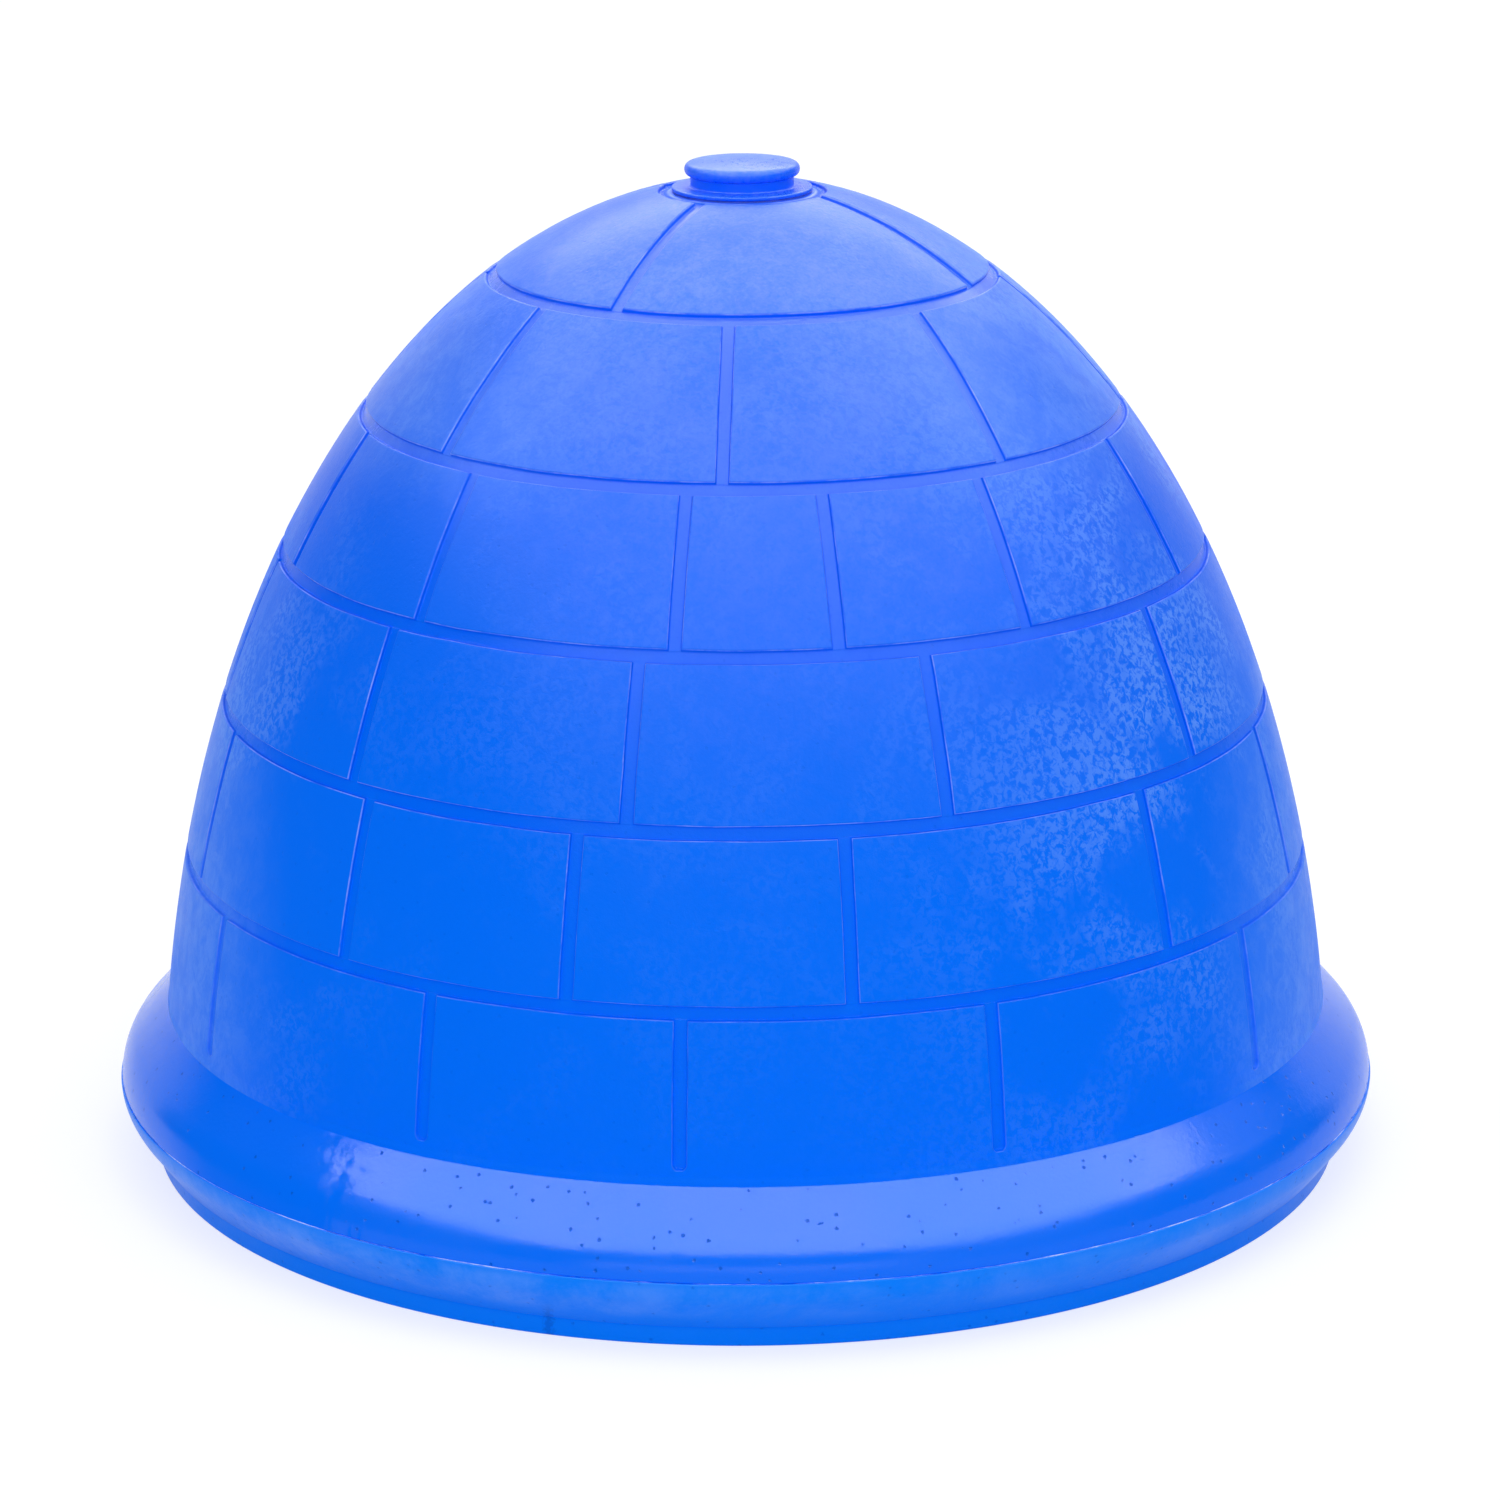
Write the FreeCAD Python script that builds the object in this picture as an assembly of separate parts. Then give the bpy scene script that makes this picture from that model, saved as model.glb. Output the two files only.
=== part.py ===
"""Igloo dog house: a block-patterned dome on a floor pan, with a capped vent at the crown.

Millimetres, +Z up, origin on the ground under the crown. The doorway faces -Y.
"""
import FreeCAD, Part

import math
import os

# ---- dome: the block faces lie on half an ellipsoid centred on the ground ----
dome_half_width = 446.0
dome_height = 731.0
dome_wall = 7.0
curve_sag = 3.5
inside_sag = 6.0

# ---- skirt: a flare below the blocks that ends in a rounded lip at the seam ----
seam_height = 56.0
lip_reach = 31.0
lip_round = 45.0
flare_lean = 43.0
skirt_wall = 5.0

# ---- moulded joints between the blocks ----
course_slopes = [120.0, 123.0, 121.0, 121.0, 139.0]
joint_width = 11.0
joint_floor_width = 8.0
bed_joint_depth = 3.5
head_joint_depth = 3.0
head_joint_stop = 10.0
crown_ring_radius = 63.0

# Directions of the upright joints in degrees from +X, bottom course first.
head_joint_directions = [
    [27, 59, 84, 113.5, 147, 182, 212, 243, 275, 303, 331, 357],
    [18, 48, 73, 100, 135, 162, 193, 224, 255, 287, 318, 348],
    [8, 45, 78, 111, 145, 182, 214, 247, 280, 312, 341],
    [17, 48.5, 82, 101, 125, 156.5, 188, 219, 250, 282, 314, 346],
    [41, 87, 130.5, 176.5, 222, 267, 312, 356],
    [60.5, 155, 246, 333],
]

# ---- doorway ----
door_width = 340.0
door_height = 400.0
door_sill_height = 125.0
door_corner_radius = 45.0
surround_width = 30.0
surround_proud = 6.0

# ---- floor pan ----
rim_reach = 1.0
pan_wall = 5.0
rim_round = 30.0
rim_lean = 37.0
foot_height = 15.0
foot_step = 3.0
gutter_width = 22.0
floor_height = 24.0
floor_half_width = 405.0
spigot_height = 14.0
spigot_clearance = 2.5
channel_radius = 215.0
channel_width = 30.0
channel_lean = 30.0

# ---- vent ----
vent_hole_radius = 37.0
vent_land_radius = 53.0
gasket_thickness = 1.5
gasket_inset = 1.2
flange_radius = 51.7
flange_thickness = 2.6
neck_radius = 38.0
neck_bore_radius = 33.0
neck_height = 8.0
tail_length = 28.0
tail_clearance = 1.0
locknut_width = 96.0
locknut_thickness = 12.0
locknut_sides = 8
locknut_clearance = 0.3
cap_radius = 42.5
cap_thickness = 9.5
cap_crown = 3.0
cap_flat_radius = 26.0
cap_wall = 3.0
sleeve_wall = 2.5
sleeve_length = 38.0
sleeve_clearance = 0.5
window_count = 6
window_width = 20.0
window_height = 12.0
window_drop = 3.0

# ---- drawing ----
same_spot = 1e-6
walk_step = 0.5
overshoot = 20.0
search_turns = 50
UP = FreeCAD.Vector(0, 0, 1)
ORIGIN = FreeCAD.Vector(0, 0, 0)

# ---- what follows from the sizes above ----
lip_half_width = dome_half_width + lip_reach
rim_half_width = lip_half_width + rim_reach


# ---------------------------------------------------------------- drawing in the R-Z plane
def spot(radius, height):
    """A point of the R-Z half plane, which is spun about the Z axis."""
    return FreeCAD.Vector(radius, 0, height)


def polar(distance, degrees):
    """A step in the R-Z plane, its direction counted up from outwards."""
    turn = math.radians(degrees)
    return spot(distance * math.cos(turn), distance * math.sin(turn))


def round_spots(centre, radius, start, end):
    """Points along a circular arc, close enough together for half the allowed sag."""
    step = 2 * math.degrees(math.acos(max(1 - curve_sag / 2 / radius, 0)))
    runs = math.ceil(abs(end - start) / step)
    return [centre + polar(radius, start + (end - start) * i / runs) for i in range(runs + 1)]


def outline(spots):
    """The closed face through a list of points, dropping repeated neighbours."""
    corners = []
    for place in spots:
        if not corners or place.distanceToPoint(corners[-1]) > same_spot:
            corners.append(place)
    return Part.Face(Part.makePolygon(corners + [corners[0]]))


def spun(spots):
    """The solid that a closed outline makes when it is turned about the Z axis."""
    return outline(spots).revolve(ORIGIN, UP, 360)


def around(count, radius):
    """Evenly spaced places on a level circle, the first one towards +X."""
    turns = [2 * math.pi * index / count for index in range(count)]
    return [FreeCAD.Vector(math.cos(turn), math.sin(turn), 0) * radius for turn in turns]


# ---------------------------------------------------------------- the dome's curve
def dome_spot(inset, angle):
    """A point of the dome's ellipse moved in by inset; the angle counts from the crown."""
    return spot(
        (dome_half_width - inset) * math.sin(angle), (dome_height - inset) * math.cos(angle)
    )


def angle_at_radius(inset, radius):
    return math.asin(radius / (dome_half_width - inset))


def angle_at_height(inset, height):
    return math.acos(height / (dome_height - inset))


def turn_for(length, angle):
    """The change of crown angle that a short length along the slope makes."""
    across = dome_half_width * math.cos(angle)
    down = dome_height * math.sin(angle)
    return length / math.hypot(across, down)


def climb(angle, length):
    """The crown angle reached by going a length up the slope."""
    for _ in range(round(length / walk_step)):
        angle -= turn_for(walk_step, angle)
    return angle


def slope_spots(inset, upper, lower, sag=curve_sag):
    """Points down the dome's curve, close enough together to stay within the allowed sag."""
    chord = dome_spot(0, upper).distanceToPoint(dome_spot(0, lower))
    bend = abs(tangent_lean(lower) - tangent_lean(upper))
    runs = max(math.ceil(math.sqrt(chord * bend / 8 / sag)), 1)
    return [dome_spot(inset, upper + (lower - upper) * i / runs) for i in range(runs + 1)]


def tangent_lean(angle):
    """How steeply the dome's surface falls at a crown angle, in radians."""
    return math.atan2(dome_height * math.sin(angle), dome_half_width * math.cos(angle))


def lip_centre():
    return spot(lip_half_width - lip_round, seam_height)


def flare_top(inset, radius):
    """Where the flare's face, tangent to the lip's round, runs up into the dome's wall."""
    start = lip_centre() + polar(radius, flare_lean)
    low = 0.0
    high = 4 * lip_round
    for _ in range(search_turns):
        middle = 0.5 * (low + high)
        probe = start + polar(middle, 90 + flare_lean)
        across = probe.x / (dome_half_width - inset)
        up = probe.z / (dome_height - inset)
        if math.hypot(across, up) > 1:
            low = middle
        else:
            high = middle
    return math.atan2(across, up)


def ledge_angle():
    """The crown angle of the ledge where the blocks meet the flare."""
    return flare_top(0, lip_round)


def bed_joint_angles():
    """Crown angles of the level joints' middles, from the lowest up."""
    highest = angle_at_radius(0, crown_ring_radius)
    angle = ledge_angle()
    middles = []
    for slope in course_slopes:
        angle = climb(angle, slope)
        if angle - turn_for(joint_width, angle) <= highest:
            break
        middles.append(angle)
    return middles


# ---------------------------------------------------------------- dome shell
def land_height():
    """The flat round the vent hole, level with the joint floor at the land's rim."""
    return dome_spot(bed_joint_depth, angle_at_radius(bed_joint_depth, vent_land_radius)).z


def outside_spots():
    """The outer profile from the vent hole down over blocks, joints, flare and lip."""
    spots = [spot(vent_hole_radius, land_height()), spot(vent_land_radius, land_height())]
    spots.append(dome_spot(bed_joint_depth, angle_at_radius(bed_joint_depth, crown_ring_radius)))
    face_start = angle_at_radius(0, crown_ring_radius)
    for middle in reversed(bed_joint_angles()):
        lip_turn = turn_for(joint_width / 2, middle)
        floor_turn = turn_for(joint_floor_width / 2, middle)
        spots += slope_spots(0, face_start, middle - lip_turn)
        spots.append(dome_spot(bed_joint_depth, middle - floor_turn))
        spots.append(dome_spot(bed_joint_depth, middle + floor_turn))
        face_start = middle + lip_turn
    spots += slope_spots(0, face_start, ledge_angle())
    return spots + round_spots(lip_centre(), lip_round, flare_lean, 0)


def inside_spots():
    """The inner profile from the seam up to the vent hole, one wall in from the outside."""
    inner_round = lip_round - skirt_wall
    spots = round_spots(lip_centre(), inner_round, 0, flare_lean)
    ceiling = land_height() - skirt_wall
    levels = [flare_top(dome_wall, inner_round)]
    levels += bed_joint_angles()
    levels.append(angle_at_height(dome_wall, ceiling))
    for lower, upper in zip(levels, levels[1:]):
        spots += reversed(slope_spots(dome_wall, upper, lower, inside_sag))
    spots.append(spot(vent_hole_radius, ceiling))
    return spots


def head_joint(lower, upper, direction):
    """The cutter of one upright joint: a slab whose floor follows the dome's slope."""
    floor = slope_spots(head_joint_depth, upper, lower)
    outside = [dome_spot(-overshoot, lower), dome_spot(-overshoot, upper)]
    section = outline(floor + outside)
    section.translate(FreeCAD.Vector(0, -joint_width / 2, 0))
    slab = section.extrude(FreeCAD.Vector(0, joint_width, 0))
    slab.rotate(ORIGIN, UP, direction)
    return slab


def course_levels():
    """Crown angles where the upright joints end: above the ledge, then at each level joint."""
    return [climb(ledge_angle(), head_joint_stop)] + bed_joint_angles()


def head_joints():
    """Cutters for every course, each from one level joint's middle to the next."""
    ring_middle = 0.5 * (vent_land_radius + crown_ring_radius)
    levels = course_levels() + [angle_at_radius(0, ring_middle)]
    cutters = []
    for lower, upper, directions in zip(levels, levels[1:], head_joint_directions):
        cutters += [head_joint(lower, upper, direction) for direction in directions]
    return cutters


def arch_prism(margin):
    """The doorway's arch, grown by a margin on every side, carried out through the front."""
    half = door_width / 2 + margin
    corner = door_corner_radius + margin
    bottom = door_sill_height - margin
    spring = door_sill_height + door_height - door_width / 2
    inset = corner * (1 - math.sqrt(0.5))
    sill = Part.LineSegment(spot(half - corner, bottom), spot(corner - half, bottom))
    left_corner = Part.Arc(
        spot(corner - half, bottom), spot(inset - half, bottom + inset), spot(-half, bottom + corner)
    )
    left_side = Part.LineSegment(spot(-half, bottom + corner), spot(-half, spring))
    crown = Part.Arc(spot(-half, spring), spot(0, spring + half), spot(half, spring))
    right_side = Part.LineSegment(spot(half, spring), spot(half, bottom + corner))
    right_corner = Part.Arc(
        spot(half, bottom + corner), spot(half - inset, bottom + inset), spot(half - corner, bottom)
    )
    curves = [sill, left_corner, left_side, crown, right_side, right_corner]
    face = Part.Face(Part.Wire([curve.toShape() for curve in curves]))
    return face.extrude(FreeCAD.Vector(0, -lip_half_width - overshoot, 0))


def door_surround():
    """A raised band round the doorway, rooted in the wall below the floors of the joints."""
    root = 0.5 * (bed_joint_depth + dome_wall)
    levels = course_levels()[::-1] + [angle_at_height(0, seam_height)]
    outer = []
    inner = []
    for upper, lower in zip(levels, levels[1:]):
        outer += slope_spots(-surround_proud, upper, lower)
        inner += slope_spots(root, upper, lower)
    return spun(outer + inner[::-1]).common(arch_prism(surround_width))


def make_dome_shell():
    shell = spun(outside_spots() + inside_spots()).cut(head_joints())
    return shell.fuse(door_surround()).cut(arch_prism(0))


# ---------------------------------------------------------------- floor pan
def spigot_radius():
    """The locating wall stands clear of the lip's inner face, measured at its own top."""
    reach = math.sqrt((lip_round - skirt_wall) ** 2 - spigot_height**2)
    return lip_centre().x + reach - spigot_clearance


def channel_spots(lift):
    """The ring channel that carries the floor on the ground, from its outer edge to the axis.

    A lift of nothing gives the underside and a lift of one wall gives the top.
    """
    lean = math.tan(math.radians(channel_lean))
    level = floor_height - pan_wall
    shift = (pan_wall - lift) * math.tan(math.radians(90 - channel_lean) / 2)
    foot_half = channel_width / 2 + shift
    top_half = foot_half + level * lean
    return [
        spot(channel_radius + top_half, level + lift),
        spot(channel_radius + foot_half, lift),
        spot(channel_radius - foot_half, lift),
        spot(channel_radius - top_half, level + lift),
        spot(0, level + lift),
    ]


def pan_spots():
    """Foot, leaning band, rim, shelf, spigot, gutter and raised floor, round to the start."""
    rim_centre = spot(rim_half_width - rim_round, seam_height)
    inner_round = rim_round - pan_wall
    outer_touch = rim_centre + polar(rim_round, -rim_lean)
    inner_touch = rim_centre + polar(inner_round, -rim_lean)
    lean = math.tan(math.radians(rim_lean))
    band_foot = outer_touch.x - (outer_touch.z - foot_height) * lean
    foot = band_foot - foot_step
    gutter_outer = inner_touch.x - (inner_touch.z - pan_wall) * lean
    gutter_inner = gutter_outer - gutter_width
    rise = math.atan2(floor_height - pan_wall, gutter_inner - floor_half_width)
    shift = pan_wall * math.tan(rise / 2)
    outer = spigot_radius()
    inner = outer - pan_wall
    spots = channel_spots(0)[::-1]
    spots += [
        spot(floor_half_width - shift, floor_height - pan_wall),
        spot(gutter_inner - shift, 0),
        spot(foot, 0),
        spot(foot, foot_height),
        spot(band_foot, foot_height),
    ]
    spots += round_spots(rim_centre, rim_round, -rim_lean, 0)
    spots += [
        spot(outer, seam_height),
        spot(outer, seam_height + spigot_height),
        spot(inner, seam_height + spigot_height),
        spot(inner, seam_height),
        inner_touch,
        spot(gutter_outer, pan_wall),
        spot(gutter_inner, pan_wall),
        spot(floor_half_width, floor_height),
    ]
    return spots + channel_spots(pan_wall)


def make_floor_pan():
    return spun(pan_spots())


# ---------------------------------------------------------------- vent
def flange_base():
    return land_height() + gasket_thickness


def neck_top():
    return flange_base() + flange_thickness + neck_height


def make_vent_gasket():
    """A flat rubber ring between the crown's land and the neck's flange."""
    outer = flange_radius - gasket_inset
    return spun(
        [
            spot(vent_hole_radius, land_height()),
            spot(outer, land_height()),
            spot(outer, flange_base()),
            spot(vent_hole_radius, flange_base()),
        ]
    )


def make_vent_neck():
    """A flanged bush: the neck above the flange, the tail through the crown."""
    tail_radius = vent_hole_radius - tail_clearance
    tail_end = land_height() - tail_length
    flange_top = flange_base() + flange_thickness
    return spun(
        [
            spot(neck_bore_radius, tail_end),
            spot(tail_radius, tail_end),
            spot(tail_radius, flange_base()),
            spot(flange_radius, flange_base()),
            spot(flange_radius, flange_top),
            spot(neck_radius, flange_top),
            spot(neck_radius, neck_top()),
            spot(neck_bore_radius, neck_top()),
        ]
    )


def make_vent_locknut():
    """A flat-sided ring nut on the tail, hard up against the crown from inside."""
    underside = land_height() - skirt_wall - locknut_thickness
    corner = locknut_width / 2 / math.cos(math.pi / locknut_sides)
    corners = [place + UP * underside for place in around(locknut_sides, corner)]
    nut = outline(corners).extrude(UP * locknut_thickness)
    bore = vent_hole_radius - tail_clearance + locknut_clearance
    return nut.cut(Part.makeCylinder(bore, locknut_thickness, UP * underside))


def cap_windows():
    """Air windows through the cap's sleeve, just below the disc."""
    base = neck_top() - window_drop - window_height
    boxes = []
    for index in range(window_count):
        box = Part.makeBox(neck_bore_radius + overshoot, window_width, window_height)
        box.translate(FreeCAD.Vector(0, -window_width / 2, base))
        box.rotate(ORIGIN, UP, 360 * index / window_count)
        boxes.append(box)
    return boxes


def make_vent_cap():
    """A crowned disc with a rounded rim on a windowed sleeve that drops into the neck."""
    underside = neck_top()
    half = cap_thickness / 2
    rim_centre = spot(cap_radius - half, underside + half)
    sleeve_outer = neck_bore_radius - sleeve_clearance
    sleeve_inner = sleeve_outer - sleeve_wall
    crown = underside + cap_thickness + cap_crown
    spots = [spot(0, crown), spot(cap_flat_radius, crown)]
    spots += round_spots(rim_centre, half, 90, -90)
    spots += [
        spot(sleeve_outer, underside),
        spot(sleeve_outer, underside - sleeve_length),
        spot(sleeve_inner, underside - sleeve_length),
        spot(sleeve_inner, underside + cap_wall),
        spot(0, underside + cap_wall),
    ]
    return spun(spots).cut(cap_windows())


# ---------------------------------------------------------------- write every piece
makers = {
    "floor_pan": make_floor_pan,
    "dome_shell": make_dome_shell,
    "vent_gasket": make_vent_gasket,
    "vent_neck": make_vent_neck,
    "vent_locknut": make_vent_locknut,
    "vent_cap": make_vent_cap,
}

os.makedirs("parts", exist_ok=True)
for name, make in makers.items():
    piece = make()
    piece.exportStep("parts/" + name + ".step")
    print(name, "solids", len(piece.Solids), "volume %.0f" % piece.Volume)
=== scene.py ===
# %% [markdown]
# # An igloo dog house, dressed
# The house is two rotationally moulded shells and a small vent. A dome carries six courses of raised
# blocks, and it stands on a round floor pan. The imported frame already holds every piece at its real
# size and place. Each cell below makes the finer surface of one piece in that same frame, in metres,
# or one of its finishes.

# %% Load the frame
import math

import bpy
import bmesh
import numpy as np
from mathutils import Matrix, Vector


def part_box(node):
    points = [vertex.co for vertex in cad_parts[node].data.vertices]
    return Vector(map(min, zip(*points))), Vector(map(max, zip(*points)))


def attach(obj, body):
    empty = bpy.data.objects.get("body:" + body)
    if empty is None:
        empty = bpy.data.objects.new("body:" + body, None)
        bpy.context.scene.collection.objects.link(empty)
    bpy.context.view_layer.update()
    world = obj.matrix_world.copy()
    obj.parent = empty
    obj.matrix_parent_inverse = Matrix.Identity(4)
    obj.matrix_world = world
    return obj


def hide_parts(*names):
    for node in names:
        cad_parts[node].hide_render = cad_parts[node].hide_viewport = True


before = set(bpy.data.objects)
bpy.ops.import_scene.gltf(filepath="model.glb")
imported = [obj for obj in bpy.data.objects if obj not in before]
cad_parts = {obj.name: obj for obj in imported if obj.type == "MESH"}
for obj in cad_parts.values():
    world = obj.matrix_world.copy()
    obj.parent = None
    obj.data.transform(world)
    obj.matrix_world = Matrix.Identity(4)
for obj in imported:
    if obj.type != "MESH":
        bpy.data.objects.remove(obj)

bpy.context.view_layer.update()

# %% [markdown]
# ## Sizes
# A moulded dome starts as one smooth curve, here half an ellipsoid centred on the ground. Everything
# else is measured from it: blocks are its surface, joints are pressed into it, and the wall is hung
# under it. Heights and half widths that the frame holds are read from it, so the dressed surface
# stays where the construction is.

# %% Sizes of the dome and its blocks
MM = 0.001
PAN_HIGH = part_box("floor_pan")[1]
DOME_LOW, DOME_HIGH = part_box("dome_shell")
NECK_LOW, NECK_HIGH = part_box("vent_neck")
CAP_LOW, CAP_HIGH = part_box("vent_cap")

DOME_HALF = 446 * MM
DOME_TALL = 731 * MM
WALL = 7 * MM
SKIRT_WALL = 5 * MM
SEAM = DOME_LOW.z
LIP_HALF = DOME_HIGH.x
LIP_ROUND = 45 * MM
FLARE_LEAN = math.radians(43)
COURSE_SLOPES = [value * MM for value in (120, 123, 121, 121, 139)]
JOINT_HALF = 5.5 * MM
JOINT_FLOOR_HALF = 4 * MM
JOINT_DEPTH = 3.5 * MM
JOINT_STOP = 10 * MM
CROWN_RING = 63 * MM
LAND_RADIUS = 53 * MM
HOLE_RADIUS = 37 * MM
NECK_TAIL = 28 * MM
LAND = NECK_LOW.z + NECK_TAIL
# Directions of the upright joints, in degrees from +X, bottom course first.
UPRIGHTS = [
    [27, 59, 84, 113.5, 147, 182, 212, 243, 275, 303, 331, 357],
    [18, 48, 73, 100, 135, 162, 193, 224, 255, 287, 318, 348],
    [8, 45, 78, 111, 145, 182, 214, 247, 280, 312, 341],
    [17, 48.5, 82, 101, 125, 156.5, 188, 219, 250, 282, 314, 346],
    [41, 87, 130.5, 176.5, 222, 267, 312, 356],
    [60.5, 155, 246, 333],
]
print("courses", len(UPRIGHTS), "upright joints", sum(len(course) for course in UPRIGHTS))

# %% [markdown]
# ## Walking down the curve
# Joint widths and block heights are lengths along the slope, not angles. A fine table of slope length
# against crown angle turns one into the other, which is easier to read than an elliptic integral and
# just as exact here.

# %% The dome's curve
TABLE_STEPS = 20000
table_angle = np.linspace(0, math.pi / 2, TABLE_STEPS)
table_radius = DOME_HALF * np.sin(table_angle)
table_height = DOME_TALL * np.cos(table_angle)
table_slope = np.concatenate([[0], np.cumsum(np.hypot(np.diff(table_radius), np.diff(table_height)))])


def angle_at(slope):
    """Crown angle at a slope length below the crown."""
    return np.interp(slope, table_slope, table_angle)


def slope_at(angle):
    return np.interp(angle, table_angle, table_slope)


def dome_point(angle, inset=0.0):
    """Radius and height of the dome's curve, moved in by an inset."""
    return (DOME_HALF - inset) * np.sin(angle), (DOME_TALL - inset) * np.cos(angle)


def dome_normal(angle):
    """The outward direction of the curve as radius and height parts."""
    out = DOME_TALL * np.sin(angle)
    up = DOME_HALF * np.cos(angle)
    size = np.hypot(out, up)
    return out / size, up / size


def flare_meets(inset, lip_round):
    """Crown angle where the flare, tangent to the lip's round, runs into the dome's curve."""
    centre = (LIP_HALF - LIP_ROUND, SEAM)
    start = (centre[0] + lip_round * math.cos(FLARE_LEAN), centre[1] + lip_round * math.sin(FLARE_LEAN))
    low, high = 0.0, 4 * LIP_ROUND
    for _ in range(50):
        middle = 0.5 * (low + high)
        across = (start[0] - middle * math.sin(FLARE_LEAN)) / (DOME_HALF - inset)
        up = (start[1] + middle * math.cos(FLARE_LEAN)) / (DOME_TALL - inset)
        if math.hypot(across, up) > 1:
            low = middle
        else:
            high = middle
    return math.atan2(across, up)


LEDGE_SLOPE = float(slope_at(flare_meets(0, LIP_ROUND)))
RING_SLOPE = float(slope_at(math.asin(CROWN_RING / DOME_HALF))) - JOINT_HALF
BED_SLOPES = [LEDGE_SLOPE - sum(COURSE_SLOPES[: count + 1]) for count in range(len(COURSE_SLOPES))]
LEVELS = [LEDGE_SLOPE] + BED_SLOPES + [RING_SLOPE]
print("level joints at heights", [round(float(dome_point(angle_at(s))[1]), 4) for s in BED_SLOPES])

# %% [markdown]
# ## Mesh helpers
# Every shell here is a stack of rings. Rings of equal count are joined by quads. Where two courses
# meet, their rings have different counts, and a zip of triangles joins them: it walks round both
# rings and always steps on the one that is behind.


# %% Rings and zips
ZIP_LEAD = 0.01


class Shell:
    """Points, faces and the per-point values of one mesh while it is being built."""

    def __init__(self):
        self.points, self.faces = [], []
        self.bed, self.upright, self.outward = [], [], []
        self.count = 0

    def ring(self, radii, heights, turns, bed=1.0, upright=1.0, outward=(0.0, 0.0)):
        """Adds one ring of points and returns their numbers."""
        across, along = np.cos(turns), np.sin(turns)
        height, rise = (np.broadcast_to(value, turns.shape) for value in (heights, outward[1]))
        self.points.append(np.stack([radii * across, radii * along, height], axis=1))
        self.outward.append(np.stack([outward[0] * across, outward[0] * along, rise], axis=1))
        self.bed.append(np.broadcast_to(bed, turns.shape))
        self.upright.append(np.broadcast_to(upright, turns.shape))
        numbers = np.arange(self.count, self.count + len(turns))
        self.count += len(turns)
        return numbers

    def quads(self, lower, upper):
        """Joins two rings of equal count, the lower one first for faces that look outwards."""
        around_lower = np.roll(lower, -1)
        around_upper = np.roll(upper, -1)
        self.faces += np.stack([lower, around_lower, around_upper, upper], axis=1).tolist()

    def zip(self, lower, lower_turns, upper, upper_turns):
        """Joins two rings of any counts, starting both near the lower ring's first point."""
        origin = lower_turns[0] - ZIP_LEAD
        turned = (upper_turns - origin) % (2 * math.pi)
        order = np.argsort(turned)
        upper = upper[order]
        low, high = 0, 0
        low_turns = np.append(lower_turns, lower_turns[0] + 2 * math.pi)
        high_turns = np.append(turned[order], turned[order][0] + 2 * math.pi) + origin
        while low < len(lower) or high < len(upper):
            here, there = lower[low % len(lower)], upper[high % len(upper)]
            step_low = high >= len(upper)
            if low < len(lower) and high < len(upper):
                step_low = low_turns[low + 1] <= high_turns[high + 1]
            if step_low:
                low += 1
                self.faces.append([here, lower[low % len(lower)], there])
            else:
                high += 1
                self.faces.append([here, upper[high % len(upper)], there])

    def mesh(self, name):
        """The finished mesh, with bed, upright and outward kept as values of its points."""
        made = bpy.data.meshes.new(name)
        made.from_pydata(np.concatenate(self.points).tolist(), [], self.faces)
        for label in ("bed", "upright"):
            values = np.concatenate(getattr(self, label))
            made.attributes.new(label, "FLOAT", "POINT").data.foreach_set("value", values)
        values = np.concatenate(self.outward).ravel()
        made.attributes.new("outward", "FLOAT_VECTOR", "POINT").data.foreach_set("vector", values)
        made.validate()
        return made


def even_turns(count):
    """Equal steps round the axis, without the last one that would meet the first."""
    return np.linspace(0, 2 * math.pi, count, endpoint=False)


def soften(corners, rounds, steps):
    """An open outline of radius and height points with each inner corner rounded by its own radius."""
    line = [corners[0]]
    for before, corner, after, radius in zip(corners, corners[1:], corners[2:], rounds):
        middle = Vector(corner)
        into, out = middle - Vector(before), Vector(after) - middle
        turn = into.angle(out)
        if radius == 0 or turn < 0.01:
            line.append(corner)
            continue
        reach = min(radius * math.tan(turn / 2), 0.49 * into.length, 0.49 * out.length)
        radius = reach / math.tan(turn / 2)
        into, out = into.normalized(), out.normalized()
        start, end = middle - into * reach, middle + out * reach
        centre = middle + (out - into).normalized() * (radius / math.cos(turn / 2))
        first = math.atan2(start.y - centre.y, start.x - centre.x)
        swing = math.atan2(end.y - centre.y, end.x - centre.x) - first
        swing = (swing + math.pi) % (2 * math.pi) - math.pi
        for step in range(steps + 1):
            turned = first + swing * step / steps
            line.append((centre.x + radius * math.cos(turned), centre.y + radius * math.sin(turned)))
    line.append(corners[-1])
    return line


def between(start, end, share):
    """The point at a share of the way between two points of a plane."""
    return (start[0] + (end[0] - start[0]) * share, start[1] + (end[1] - start[1]) * share)


def divide(line, longest):
    """The same outline with no run longer than a limit."""
    points = [line[0]]
    for start, end in zip(line, line[1:]):
        runs = max(math.ceil(math.dist(start, end) / longest), 1)
        points += [between(start, end, step / runs) for step in range(1, runs + 1)]
    return points


def rounded(corners, rounds, longest, steps=4):
    """An outline with its corners rounded by radii in mm and its runs kept short."""
    return divide(soften(corners, [value * MM for value in rounds], steps), longest)


print("mesh helpers ready")

# %% [markdown]
# ## The dome's mesh
# A relief shows well only where the mesh has points at its edges. Each course is a strip whose
# columns crowd round that course's own upright joints, at fixed distances from their middles, and
# whose rows crowd round its level joints. The points stay on the smooth curve for now. Each one
# remembers how far it is from the nearest level joint and from the nearest upright joint.

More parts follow.
